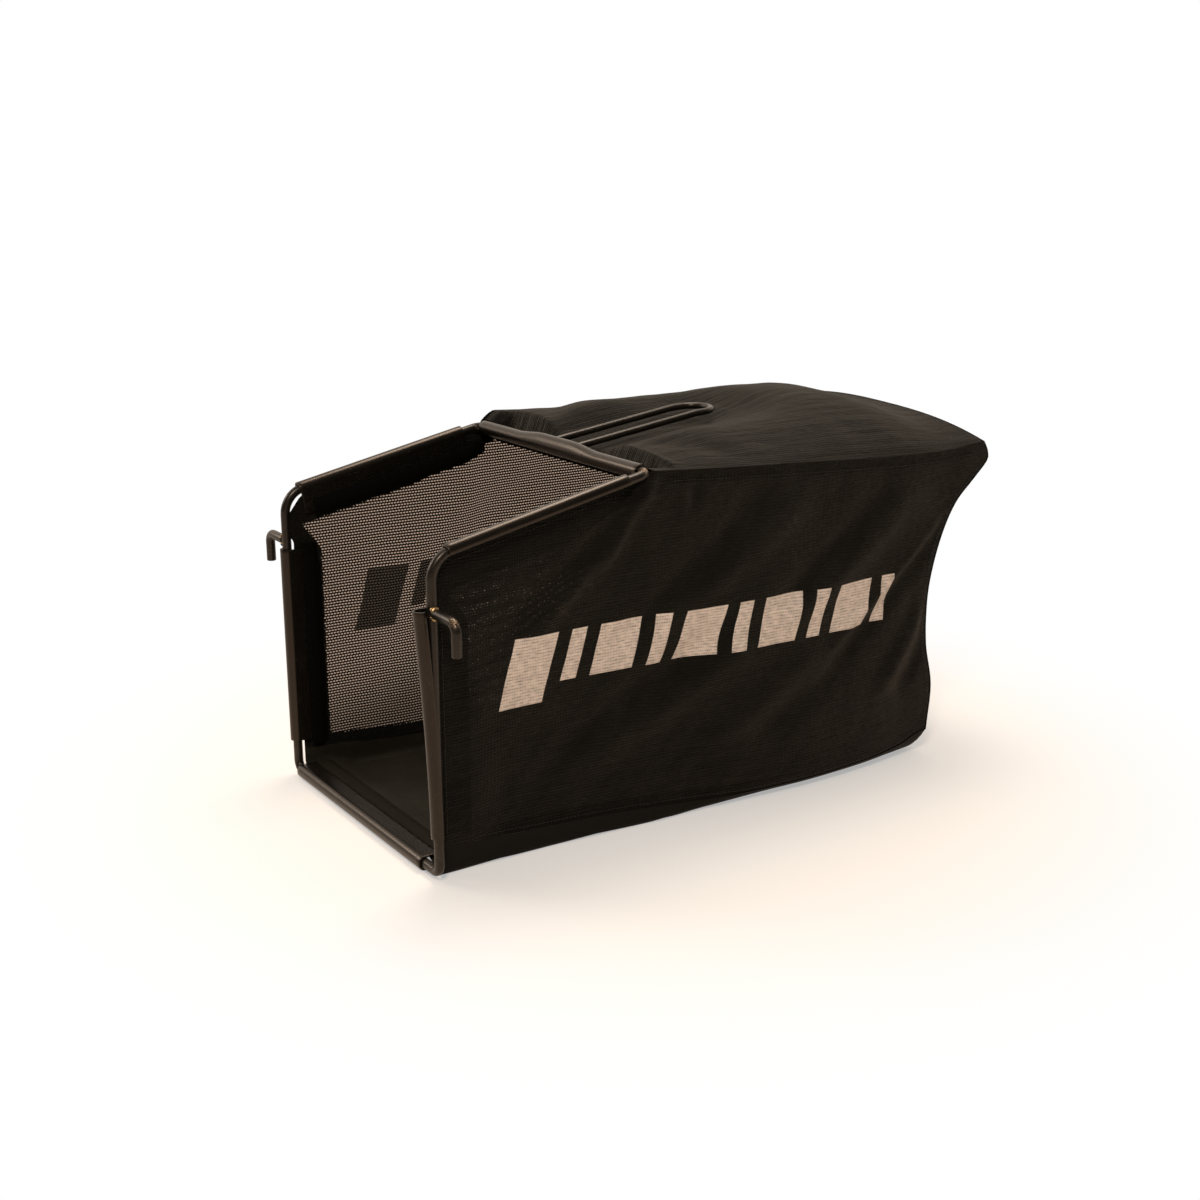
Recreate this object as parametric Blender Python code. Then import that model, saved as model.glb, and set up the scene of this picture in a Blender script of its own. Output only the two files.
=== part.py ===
"""Grass catcher of a small walk-behind mower: a welded wire mouth with a sewn bag clipped to it.

Metres, +Z up. The origin is on the ground under the middle of the catcher. The mouth faces -Y and
the bag runs back to +Y. Inside this script everything is laid out from the mouth: x from the middle,
y back from the uprights and z up from the ground. The last step slides it all to its origin.
"""
import math

import bpy
from mathutils import Vector

MM = 0.001

# Wires
FRAME_WIRE = 8 * MM
HANDLE_WIRE = 6 * MM
HOOP_WIRE = 6 * MM
WIRE_SIDES_RESOLUTION = 2
WELD_GAP = 0.3 * MM

# Mouth frame, measured along the centre line of its wire
MOUTH_WIDTH = 262 * MM
UPRIGHT_HEIGHT = 250 * MM
SLANT_RISE = 40 * MM
SLANT_RUN = 193 * MM
TIGHT_BEND = 8 * MM
WIDE_BEND = 22 * MM

# Hooks on the uprights
HOOK_ABOVE_CLIP = 7 * MM
HOOK_REACH = 36 * MM
HOOK_DROP = 25 * MM
HOOK_BEND = 8 * MM

# Carry handle
HANDLE_SPREAD = 35 * MM
HANDLE_REACH = 162 * MM
HANDLE_CLIMB = 0.135
HANDLE_ROOT_LIFT = 2.3 * MM
HANDLE_CLEAR = 3 * MM

# Plastic clips, a channel with a flat tail that the fabric is sewn to
CLIP_WALL = 1.7 * MM
CLIP_PLAY = 0.4 * MM
CLIP_TAIL = 21 * MM
CLIP_LIP_ANGLE = 15
CLIP_BOTTOM_FROM = -122 * MM
CLIP_BOTTOM_TO = 108 * MM
CLIP_UPRIGHT_FROM = 27 * MM
CLIP_UPRIGHT_LENGTH = 175 * MM
CLIP_SLANT_FROM = 13 * MM
CLIP_SLANT_LENGTH = 164 * MM
CLIP_CROSS_LENGTH = 244 * MM
CLIP_CROSS_TILT = 24
CLIP_CROSS_BULGE = 3.2 * MM
POPPED_FROM = 30 * MM
POPPED_LENGTH = 182 * MM
POPPED_REACH = 9.5 * MM

# Bag
FABRIC = 1.2 * MM
SEAM_GAP = 0.4 * MM
BOTTOM_SEAM_HEIGHT = 20 * MM
BOTTOM_CORNER = 17 * MM
BOTTOM_HEM_CORNER = 5 * MM
BOTTOM_HEM_SHIFT = -7 * MM
HEM_WIDTH = 29 * MM
MOUTH_CORNER_CUT = 14 * MM
BAG_REACH = 571 * MM
LEFT_LIFT = 12 * MM
LEFT_LIFT_RUN = 70 * MM
TOP_DOME = 25 * MM
TOP_CROWN = 11 * MM
REAR_DOME = 13 * MM
HANDLE_VALLEY = 20 * MM
REAR_SAG = 7 * MM
SIDE_BELLY = 5 * MM
REAR_TAUTNESS = 0.8                       # share of the belly that is gone at the rear edge
SIDE_FOLD = 2.5 * MM
SIDE_FOLD_PITCH = 110 * MM
SIDE_FOLD_SLOPE = 51.5
FLOOR_DROP_RUN = 34 * MM
HEM_FADE = 40 * MM
PANEL_ROWS = 14

WIRE_R = FRAME_WIRE / 2
CLIP_INNER = WIRE_R + CLIP_PLAY
CLIP_OUTER = CLIP_INNER + CLIP_WALL
HALF = MOUTH_WIDTH / 2
AXIS_Z = CLIP_OUTER                      # the bottom clip's underside is on the ground
TOP_FRONT_Z = AXIS_Z + UPRIGHT_HEIGHT
CROSS_Z = TOP_FRONT_Z + SLANT_RISE
HEM_TURN_HEIGHT = AXIS_Z + CLIP_UPRIGHT_FROM - 1 * MM
PANEL_FRONT_X = HALF - CLIP_INNER + SEAM_GAP + FABRIC
SEAM_START_Y = SLANT_RUN + WIRE_R + 12 * MM
LAST_PANEL_Y = BAG_REACH - FABRIC - SEAM_GAP

# Shape of the bag's long edges: distance back from the mouth, then the value there in metres.
LOW_HALF_WIDTH = ((0.005, 0.121), (0.062, 0.122), (0.118, 0.123), (0.175, 0.127), (0.232, 0.134),
                  (0.288, 0.144), (0.348, 0.151), (0.421, 0.150), (0.477, 0.144), (BAG_REACH, 0.134))
TOP_HALF_WIDTH = ((SLANT_RUN + 0.005, HALF + 0.001), (0.330, HALF + 0.002), (0.465, HALF + 0.003),
                  (BAG_REACH, HALF))
# The top seams, as a height above or below the cross bar.
TOP_SEAM_RISE = ((SLANT_RUN, 0.0024), (0.209, 0.001), (0.265, -0.003), (0.328, -0.007), (0.394, -0.011),
                 (0.465, -0.015), (BAG_REACH - 0.044, -0.016), (BAG_REACH, -0.013))
# The rear edge, by its height above the ground, as a distance short of the top's reach.
REAR_SHORT = ((0.0, 0.066), (0.026, 0.063), (0.064, 0.060), (0.105, 0.070), (0.143, 0.071), (0.170, 0.066),
              (0.205, 0.052), (0.232, 0.034), (0.250, 0.014), (0.268, -0.002), (0.283, 0.0))

BLACK_PAINT = ("black_paint", (0.020, 0.018, 0.017), 0.38, 0.0)
BLACK_PLASTIC = ("black_plastic", (0.035, 0.032, 0.030), 0.42, 0.0)
BLACK_MESH = ("black_mesh", (0.014, 0.013, 0.013), 0.85, 0.0)
COATED_FABRIC = ("coated_fabric", (0.018, 0.016, 0.015), 0.70, 0.0)


def remove_everything():
    """Empties the scene."""
    for item in list(bpy.data.objects):
        bpy.data.objects.remove(item, do_unlink=True)


def material(finish):
    """Gives the Principled material of one finish, made the first time it is asked for."""
    name, colour, roughness, metallic = finish
    found = bpy.data.materials.get(name)
    if found:
        return found
    made = bpy.data.materials.new(name)
    made.use_nodes = True
    shader = made.node_tree.nodes["Principled BSDF"]
    shader.inputs["Base Color"].default_value = (*colour, 1.0)
    shader.inputs["Roughness"].default_value = roughness
    shader.inputs["Metallic"].default_value = metallic
    made.diffuse_color = (*colour, 1.0)
    return made


def smooth_value(points, at):
    """Reads a smooth curve through (place, value) points, held level beyond its ends."""
    if at <= points[0][0]:
        return points[0][1]
    if at >= points[-1][0]:
        return points[-1][1]
    index = max(i for i in range(len(points) - 1) if points[i][0] <= at)
    before = points[max(index - 1, 0)]
    start, end = points[index], points[index + 1]
    after = points[min(index + 2, len(points) - 1)]
    span = end[0] - start[0]
    slope_in = (end[1] - before[1]) / (end[0] - before[0])
    slope_out = (after[1] - start[1]) / (after[0] - start[0])
    t = (at - start[0]) / span
    return ((2 * t ** 3 - 3 * t ** 2 + 1) * start[1] + (t ** 3 - 2 * t ** 2 + t) * span * slope_in
            + (3 * t ** 2 - 2 * t ** 3) * end[1] + (t ** 3 - t ** 2) * span * slope_out)


def ramp(value, low, high):
    """Goes smoothly from 0 at low to 1 at high."""
    t = min(max((value - low) / (high - low), 0.0), 1.0)
    return t * t * (3 - 2 * t)


def rounded(corners, radii, steps):
    """Replaces each corner of a route by an arc of its radius, and returns the route's points."""
    count = len(corners)
    points = []
    for i, corner in enumerate(corners):
        if radii[i] == 0:
            points.append(corner)
            continue
        to_last = (corners[i - 1] - corner).normalized()
        to_next = (corners[(i + 1) % count] - corner).normalized()
        half_angle = to_last.angle(to_next) / 2
        back = radii[i] / math.tan(half_angle)
        centre = corner + (to_last + to_next).normalized() * (radii[i] / math.sin(half_angle))
        first = corner + to_last * back - centre
        last = corner + to_next * back - centre
        turn = first.angle(last)
        for step in range(steps + 1):
            t = step / steps
            mix = (first * math.sin((1 - t) * turn) + last * math.sin(t * turn)) / math.sin(turn)
            points.append(centre + mix)
    return points


def wire(name, points, diameter, closed=False):
    """Makes a round wire along points."""
    curve = bpy.data.curves.new(name, "CURVE")
    curve.dimensions = "3D"
    curve.bevel_depth = diameter / 2
    curve.bevel_resolution = WIRE_SIDES_RESOLUTION
    curve.use_fill_caps = not closed
    spline = curve.splines.new("POLY")
    spline.points.add(len(points) - 1)
    for target, point in zip(spline.points, points):
        target.co = (*point, 1.0)
    spline.use_cyclic_u = closed
    made = bpy.data.objects.new(name, curve)
    curve.materials.append(material(BLACK_PAINT))
    return made


def mesh_object(name, vertices, faces, finish):
    """Makes an object from points and faces."""
    mesh = bpy.data.meshes.new(name)
    mesh.from_pydata(vertices, [], faces)
    mesh.materials.append(material(finish))
    mesh.validate()
    made = bpy.data.objects.new(name, mesh)
    mesh.shade_smooth()
    mesh.set_sharp_from_angle(angle=math.radians(40))
    return made


def loft(name, rings, finish):
    """Joins equal rings of points into one closed solid with flat ends."""
    size = len(rings[0])
    vertices = [tuple(point) for ring in rings for point in ring]
    faces = [tuple(reversed(range(size)))]
    for r in range(len(rings) - 1):
        for i in range(size):
            j = (i + 1) % size
            faces.append((r * size + i, r * size + j, (r + 1) * size + j, (r + 1) * size + i))
    faces.append(tuple((len(rings) - 1) * size + i for i in range(size)))
    return mesh_object(name, vertices, faces, finish)


def sheet(name, rows, finish, flip=False):
    """Makes a fabric panel from rows of points on its outer side, with the thickness going inwards."""
    across = len(rows[0])
    vertices = [tuple(point) for row in rows for point in row]
    faces = []
    for r in range(len(rows) - 1):
        for i in range(across - 1):
            quad = (r * across + i, r * across + i + 1, (r + 1) * across + i + 1, (r + 1) * across + i)
            faces.append(tuple(reversed(quad)) if flip else quad)
    made = mesh_object(name, vertices, faces, finish)
    wall = made.modifiers.new("fabric thickness", "SOLIDIFY")
    wall.thickness = FABRIC
    wall.offset = -1.0
    wall.use_even_offset = True
    wall.use_quality_normals = True
    return made


def clip_ring(centre, front, inner, lip_angle=CLIP_LIP_ANGLE, bulge=0.0):
    """One section of a clip: front points out of the channel's closed side, inner to the tail's side."""
    steps = 8
    sweep = math.radians(180 + lip_angle)
    angles = [math.pi / 2 - sweep * i / steps for i in range(steps + 1)]
    profile = [(CLIP_OUTER * math.cos(a), CLIP_OUTER * math.sin(a)) for a in angles]
    profile += [(CLIP_INNER * math.cos(a), CLIP_INNER * math.sin(a)) for a in reversed(angles)]
    profile += [(-CLIP_TAIL, CLIP_INNER), (-CLIP_TAIL, CLIP_OUTER)]
    ring = []
    for along, side in profile:
        rise = bulge * ramp(-side, -CLIP_INNER, CLIP_OUTER)
        ring.append(centre + front * along + inner * side + Vector((0, 0, rise)))
    return ring


def make_mouth_frame():
    """The closed loop of wire round the mouth."""
    corners = [Vector((-HALF, 0, AXIS_Z)), Vector((HALF, 0, AXIS_Z)), Vector((HALF, 0, TOP_FRONT_Z)),
               Vector((HALF, SLANT_RUN, CROSS_Z)), Vector((-HALF, SLANT_RUN, CROSS_Z)),
               Vector((-HALF, 0, TOP_FRONT_Z))]
    radii = [TIGHT_BEND, TIGHT_BEND, WIDE_BEND, TIGHT_BEND, TIGHT_BEND, WIDE_BEND]
    return wire("mouth_frame", rounded(corners, radii, 6), FRAME_WIRE, True)


def make_hook(name, side):
    """A bent wire hook welded to the outside of an upright; side is -1 for left and 1 for right."""
    height = AXIS_Z + CLIP_UPRIGHT_FROM + CLIP_UPRIGHT_LENGTH + HOOK_ABOVE_CLIP
    reach = HALF + HOOK_REACH
    corners = [Vector((side * (HALF + WIRE_R + WELD_GAP), 0, height)), Vector((side * reach, 0, height)),
               Vector((side * reach, 0, height - HOOK_DROP))]
    return wire(name, rounded(corners, [0, HOOK_BEND, 0], 6), FRAME_WIRE)


def handle_height(y):
    """Height of the handle's centre line, which climbs from its weld and levels at its tip."""
    from_root = y - (SLANT_RUN + WIRE_R)
    level = HANDLE_REACH * 0.8
    climb = min(from_root, level) + max(from_root - level, 0.0) * 0.25
    return CROSS_Z + HANDLE_ROOT_LIFT + HANDLE_CLIMB * climb


def make_carry_handle():
    """The hairpin of wire welded to the cross bar."""
    root_y = SLANT_RUN + WIRE_R + WELD_GAP
    radius = HANDLE_SPREAD / 2
    turn_y = SLANT_RUN + HANDLE_REACH - radius - HANDLE_WIRE / 2
    legs = 6
    run = [root_y + (turn_y - root_y) * i / legs for i in range(legs)]
    plan = [(-radius, y) for y in run]
    turns = 12
    for i in range(turns + 1):
        angle = math.pi - math.pi * i / turns
        plan.append((radius * math.cos(angle), turn_y + radius * math.sin(angle)))
    plan += [(radius, y) for y in reversed(run)]
    return wire("carry_handle", [Vector((x, y, handle_height(y))) for x, y in plan], HANDLE_WIRE)


def seam_height(y, side):
    """Height of a top side seam; the left one is held a little higher than the right one."""
    lift = LEFT_LIFT * ramp(y, SEAM_START_Y, SEAM_START_Y + LEFT_LIFT_RUN) if side < 0 else 0.0
    return CROSS_Z + smooth_value(TOP_SEAM_RISE, y) + lift


def top_half_width(y):
    """Half the bag's width along its top edges, narrower where the slanted bars' clips hold it."""
    behind = smooth_value(TOP_HALF_WIDTH, y)
    held_to = CLIP_SLANT_FROM + CLIP_SLANT_LENGTH
    return PANEL_FRONT_X + (behind - PANEL_FRONT_X) * ramp(y, held_to, SLANT_RUN + 5 * MM)


def top_height(x, y):
    """Height of the top panel's outer side, domed between its seams and pressed down by the handle."""
    share = min(max(x / top_half_width(y), -1.0), 1.0)
    edge = (seam_height(y, -1) * (1 - share) + seam_height(y, 1) * (1 + share)) / 2
    dome = TOP_DOME * ramp(y, SLANT_RUN - 0.020, SLANT_RUN + 0.110)
    dome += TOP_CROWN * ramp(y, SLANT_RUN + 0.110, SLANT_RUN + 0.260)
    dome += (REAR_DOME - TOP_DOME - TOP_CROWN) * ramp(y, BAG_REACH - 0.105, BAG_REACH)
    valley = HANDLE_VALLEY * ramp(y, SLANT_RUN, SLANT_RUN + 0.080)
    valley *= 1 - ramp(y, SLANT_RUN + HANDLE_REACH - 0.030, SLANT_RUN + HANDLE_REACH + 0.090)
    height = edge + dome * (1 - abs(share) ** 2.6) - valley * math.exp(-(x / 0.042) ** 2)
    under_handle = handle_height(y) - HANDLE_WIRE / 2 - HANDLE_CLEAR
    near = 1 - ramp(abs(x), HANDLE_SPREAD / 2 + HANDLE_WIRE, HANDLE_SPREAD / 2 + 0.050)
    near *= 1 - ramp(y, SLANT_RUN + HANDLE_REACH, SLANT_RUN + HANDLE_REACH + 0.060)
    return height + (min(height, under_handle) - height) * near


def make_support_hoop():
    """The wire inside the bag, welded to the frame's rear corners, that holds the top seams out."""
    inset = 9 * MM
    drop = FABRIC + HOOP_WIRE / 2 + 2.2 * MM
    root_y = SLANT_RUN + WIRE_R - 0.55 * MM + WELD_GAP
    rear_y = BAG_REACH - FABRIC - HOOP_WIRE / 2 - 3 * MM
    bend = 16 * MM
    root_x = HALF - WIRE_R - 1.5 * MM
    run_steps = 9
    start_y = SEAM_START_Y + 0.035
    side_run = []
    for i in range(run_steps + 1):
        y = start_y + (rear_y - bend - start_y) * i / run_steps
        side_run.append((top_half_width(y) - inset, y))
    rear_x = top_half_width(rear_y) - inset
    arc_steps = 5
    for i in range(1, arc_steps + 1):
        angle = math.pi / 2 * i / arc_steps
        side_run.append((rear_x - bend + bend * math.cos(angle), rear_y - bend + bend * math.sin(angle)))
    rear_steps = 8
    half_rear = rear_x - bend
    rear = [(half_rear - 2 * half_rear * i / rear_steps, rear_y) for i in range(1, rear_steps)]
    left_run = [(-x, y) for x, y in reversed(side_run)]
    points = [Vector((x, y, top_height(x, y) - drop)) for x, y in side_run + rear + left_run]
    for y, below in ((SEAM_START_Y + 0.010, 6 * MM), (root_y, 4 * MM)):
        points.insert(0, Vector((root_x, y, CROSS_Z - below)))
        points.append(Vector((-root_x, y, CROSS_Z - below)))
    return wire("support_hoop", points, HOOP_WIRE)


def make_bottom_clip():
    """The clip on the bottom wire, slid towards the left."""
    front = Vector((0, -1, 0))
    inner = Vector((0, 0, 1))
    rings = [clip_ring(Vector((x, 0, AXIS_Z)), front, inner) for x in (CLIP_BOTTOM_FROM, CLIP_BOTTOM_TO)]
    return loft("clip_bottom", rings, BLACK_PLASTIC)


def make_left_upright_clip():
    """The clip seated on the left upright."""
    front = Vector((0, -1, 0))
    inner = Vector((1, 0, 0))
    low = AXIS_Z + CLIP_UPRIGHT_FROM
    rings = [clip_ring(Vector((-HALF, 0, z)), front, inner) for z in (low + CLIP_UPRIGHT_LENGTH, low)]
    return loft("clip_upright_left", rings, BLACK_PLASTIC)


def popped_shift(height):
    """How far the right upright's clip stands forward of its seat at a height above the bottom wire."""
    share = min(max((height - POPPED_FROM) / POPPED_LENGTH, 0.0), 1.0)
    return POPPED_REACH * share ** 1.7


def make_right_upright_clip():
    """The clip that has come off the right upright at its top end."""
    inner = Vector((-1, 0, 0))
    rings = []
    stations = 7
    for i in range(stations + 1):
        height = POPPED_FROM + POPPED_LENGTH * i / stations
        centre = Vector((HALF, -popped_shift(height), AXIS_Z + height))
        rings.append(clip_ring(centre, Vector((0, -1, 0)), inner))
    return loft("clip_upright_right", rings, BLACK_PLASTIC)


def slant_point(side, along):
    """A point on a slanted bar's centre line, by its distance back from the mouth."""
    return Vector((side * HALF, along, TOP_FRONT_Z + SLANT_RISE * along / SLANT_RUN))


def make_slant_clip(name, side):
    """The clip on one slanted side bar."""
    along = Vector((0, SLANT_RUN, SLANT_RISE)).normalized()
    front = Vector((0, -along.z, along.y))
    inner = Vector((-side, 0, 0))
    ends = [CLIP_SLANT_FROM, CLIP_SLANT_FROM + CLIP_SLANT_LENGTH * along.y]
    if side < 0:
        ends.reverse()
    rings = [clip_ring(slant_point(side, y), front, inner) for y in ends]
    return loft(name, rings, BLACK_PLASTIC)


def make_cross_clip():
    """The clip on the cross bar, which rides over the handle's two welded legs."""
    tilt = math.radians(CLIP_CROSS_TILT)
    front = Vector((0, -math.cos(tilt), math.sin(tilt)))
    inner = Vector((0, -math.sin(tilt), -math.cos(tilt)))
    leg = HANDLE_SPREAD / 2
    clear = HANDLE_WIRE / 2 + 2 * MM
    fade = 16 * MM
    half = CLIP_CROSS_LENGTH / 2
    places = [-half, -leg - clear - 2 * fade, -leg - clear - fade, -leg - clear, -leg + clear, 0.0,
              leg - clear, leg + clear, leg + clear + fade, leg + clear + 2 * fade, half]
    rings = []
    for x in reversed(places):
        near = 1 - ramp(abs(x), leg + clear, leg + clear + 2 * fade)
        lip = CLIP_LIP_ANGLE - 48 * near
        centre = Vector((x, SLANT_RUN, CROSS_Z))
        rings.append(clip_ring(centre, front, inner, lip, CLIP_CROSS_BULGE * near))
    return loft("clip_cross", rings, BLACK_PLASTIC)


def hem_hold(y, z):
    """1 where a side panel is sewn flat to a clip's tail, falling to 0 a little way into the bag."""
    under_bar = (slant_point(1, y).z - z) * SLANT_RUN / math.hypot(SLANT_RUN, SLANT_RISE)
    from_bar = under_bar + 0.5 * max(y - SLANT_RUN, 0.0)
    return 1 - ramp(min(y, from_bar), HEM_WIDTH + 11 * MM, HEM_WIDTH + HEM_FADE)


def side_x(y, z, side):
    """Half the bag's width at a place on a side panel's outer side."""
    low = smooth_value(LOW_HALF_WIDTH, y)
    low += side * BOTTOM_HEM_SHIFT * (1 - ramp(y, HEM_WIDTH, HEM_WIDTH + 0.100))
    high = top_half_width(y)
    top = side_top_edge(y, 1)
    share = min(max((z - BOTTOM_SEAM_HEIGHT) / (top - BOTTOM_SEAM_HEIGHT), 0.0), 1.0)
    belly = SIDE_BELLY * math.sin(math.pi * share) * ramp(y, 0.080, 0.300)
    belly *= 1 - REAR_TAUTNESS * ramp(y, 0.440, 0.540)
    slope = math.radians(SIDE_FOLD_SLOPE)
    across = y * math.cos(slope) - z * math.sin(slope)
    fold = SIDE_FOLD * math.sin(across * 2 * math.pi / SIDE_FOLD_PITCH)
    fold *= math.sin(math.pi * share) * ramp(y, 0.060, 0.140) * (1 - ramp(y, 0.470, 0.560))
    free = low + (high - low) * share + belly + fold
    held = low + (high - low) * ramp(z, BOTTOM_SEAM_HEIGHT, HEM_TURN_HEIGHT)
    return free + (held - free) * hem_hold(y, z)


def panel_heights(top):
    """Heights of a side or rear panel's rows, closer together where the hem turns in at the bottom."""
    low = BOTTOM_SEAM_HEIGHT + SEAM_GAP / 2
    heights = [low, (low + HEM_TURN_HEIGHT) / 2]
    for i in range(PANEL_ROWS):
        heights.append(HEM_TURN_HEIGHT + (top - HEM_TURN_HEIGHT) * i / (PANEL_ROWS - 1))
    return heights


def rear_edge(z):
    """How far back the bag's rear edge stands at a height."""
    return BAG_REACH - smooth_value(REAR_SHORT, z)


def side_last_y(z):
    """Where a side panel ends at a height, just inside the rear panel's thickness."""
    slope = (rear_edge(z + MM) - rear_edge(z - MM)) / (2 * MM)
    return rear_edge(z) - (FABRIC + SEAM_GAP) * math.hypot(1.0, slope) - 0.5 * MM


def side_top_edge(y, side):
    """Height of a side panel's top edge: under the slanted bar first, then under the top seam."""
    under_bar = slant_point(side, y).z - WIRE_R - 1.5 * MM
    under_bar -= MOUTH_CORNER_CUT * (1 - ramp(y, WIRE_R, WIDE_BEND))
    under_seam = seam_height(y, side) - 1.3 * FABRIC - SEAM_GAP
    under_seam -= 2.2 * MM * (1 - ramp(y, SEAM_START_Y, SEAM_START_Y + 0.050))
    return under_bar + (under_seam - under_bar) * ramp(y, SLANT_RUN - 0.002, SEAM_START_Y)


def make_side_panel(name, side):
    """One side of the bag, from the mouth's hem to the rear edge."""
    front_y = WIRE_R + 1 * MM
    columns = 22
    strips = []
    for c in range(columns + 1):
        t = c / columns
        top_y = front_y + (LAST_PANEL_Y - front_y) * t
        strip = []
        for z in panel_heights(side_top_edge(top_y, side)):
            y = front_y + (side_last_y(z) - front_y) * t
            strip.append(Vector((side * side_x(y, z, side), y, z)))
        strips.append(strip)
    rows = list(zip(*strips))
    return sheet(name, rows, BLACK_MESH, flip=side < 0)


def make_top_panel():
    """The domed top of the bag, from its hem on the cross clip's tail to the rear seam."""
    tilt = math.radians(CLIP_CROSS_TILT)
    tail = Vector((0, math.cos(tilt), -math.sin(tilt)))
    off = Vector((0, -math.sin(tilt), -math.cos(tilt))) * (CLIP_INNER - SEAM_GAP - FABRIC)
    hem = [Vector((0, SLANT_RUN, CROSS_Z)) + tail * d + off for d in (6 * MM, 13 * MM, CLIP_TAIL)]
    turn = hem[-1] + Vector((0, 5 * MM, 4 * MM))
    across = 24
    rows = []
    first_y = SEAM_START_Y + 12 * MM
    side_y = SLANT_RUN + WIRE_R + 7 * MM
    lengthways = 18
    lines = hem + [turn] + [None] * (lengthways + 1)
    for index, line in enumerate(lines):
        row = []
        for i in range(across + 1):
            share = 2 * i / across - 1
            lap = ramp(abs(share), 0.85, 0.92)
            if line is None:
                step = (index - len(hem) - 1) / lengthways
                y = first_y + (BAG_REACH - first_y) * step
                x = share * top_half_width(y)
                row.append(Vector((x, y, top_height(x, y))))
                continue
            spread = index / (len(hem) + 1)
            edge_y = side_y + (first_y - side_y) * spread
            edge_x = share * top_half_width(edge_y)
            edge = Vector((edge_x, edge_y, seam_height(edge_y, share) + 1.5 * MM * (1 - abs(share))))
            low = Vector((edge_x * 0.985, line.y, line.z))
            row.append(low.lerp(edge, lap))
        rows.append(row)
    return sheet("top_panel", rows, BLACK_MESH)


def make_rear_panel():
    """The back of the bag, drawn in a little between its seams."""
    across = 14
    strips = []
    for i in range(across + 1):
        share = 2 * i / across - 1
        top = top_height(share * top_half_width(BAG_REACH), BAG_REACH) - FABRIC - SEAM_GAP
        heights = panel_heights(top)
        strip = []
        for z in heights:
            y = rear_edge(z)
            x = share * side_x(y - FABRIC, z, share)
            sag = REAR_SAG * (1 - share ** 2) * math.sin(math.pi * (z - heights[0]) / (top - heights[0]))
            strip.append(Vector((x, y - sag, z)))
        strips.append(strip)
    rows = list(zip(*strips))
    return sheet("rear_panel", rows, BLACK_MESH, flip=True)


def floor_lift(y):
    """Height of the bottom panel's underside along its middle: up on the clip's tail, then down."""
    hem_height = AXIS_Z + CLIP_INNER - SEAM_GAP - FABRIC
    level_to = CLIP_TAIL + 2 * MM
    return hem_height * (1 - ramp(y, level_to, level_to + FLOOR_DROP_RUN))


def make_bottom_panel():
    """The coated floor of the bag, turned up along both sides and the back."""
    front_y = WIRE_R + 1 * MM
    last_y = rear_edge(BOTTOM_SEAM_HEIGHT) - 1 * MM
    arc_steps = 4
    flat_steps = 6
    lengthways = 18
    turn_up = BOTTOM_SEAM_HEIGHT - SEAM_GAP / 2
    rows = []
    for r in range(lengthways + 1):
        y = front_y + (last_y - front_y) * (r / lengthways) ** 0.95
        base = floor_lift(y)
        rear = ramp(y, last_y - 0.014, last_y + 0.006)
        widen = ramp(y, CLIP_TAIL, CLIP_TAIL + 0.040)
        corner = BOTTOM_HEM_CORNER + (BOTTOM_CORNER - BOTTOM_HEM_CORNER) * widen
        turned = []
        for side in (1, -1):
            half = side_x(y, BOTTOM_SEAM_HEIGHT, side)
            edge = [(side * half, turn_up)]
            for i in range(arc_steps + 1):
                angle = math.pi / 2 * (1 - i / arc_steps)
                x = half - corner + corner * math.sin(angle)
                edge.append((side * x, base + corner - corner * math.cos(angle)))
            turned.append(edge)
        right, left = turned[0][-1][0], turned[1][-1][0]
        flat = [(right + (left - right) * i / flat_steps, base) for i in range(1, flat_steps)]
        profile = turned[0] + flat + turned[1][::-1]
        rows.append([Vector((x, y, z + (turn_up - z) * rear)) for x, z in profile])
    return sheet("bottom_panel", rows, COATED_FABRIC)


def main():
    """Builds the catcher and slides it to its origin."""
    remove_everything()
    pieces = [
        make_mouth_frame(),
        make_hook("hook_left", -1),
        make_hook("hook_right", 1),
        make_carry_handle(),
        make_support_hoop(),
        make_bottom_clip(),
        make_left_upright_clip(),
        make_right_upright_clip(),
        make_slant_clip("clip_slant_left", -1),
        make_slant_clip("clip_slant_right", 1),
        make_cross_clip(),
        make_side_panel("side_panel_left", -1),
        make_side_panel("side_panel_right", 1),
        make_top_panel(),
        make_rear_panel(),
        make_bottom_panel(),
    ]
    foremost = -(POPPED_REACH + CLIP_OUTER)
    rearmost = BAG_REACH - min(short for _, short in REAR_SHORT)
    base = bpy.data.objects.new("grass_catcher", None)
    base.location = (0, -(foremost + rearmost) / 2, 0)
    bpy.context.scene.collection.objects.link(base)
    for piece in pieces:
        bpy.context.scene.collection.objects.link(piece)
        piece.parent = base


main()
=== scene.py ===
"""Looks of a mower's grass catcher: a bent wire mouth, pull-on plastic clips and a sewn mesh bag.

All sizes are in metres. Each piece is laid out as its maker would measure it, from the mouth: x from
the middle, y back from the uprights and z up from the ground. Layout.place slides such a point to
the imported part's own frame.
"""
import logging
import math
from dataclasses import dataclass, field
from enum import Enum
from typing import Callable, NamedTuple, Optional, Sequence, Union

import bmesh
import bpy
from mathutils import Matrix, Vector, noise

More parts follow.
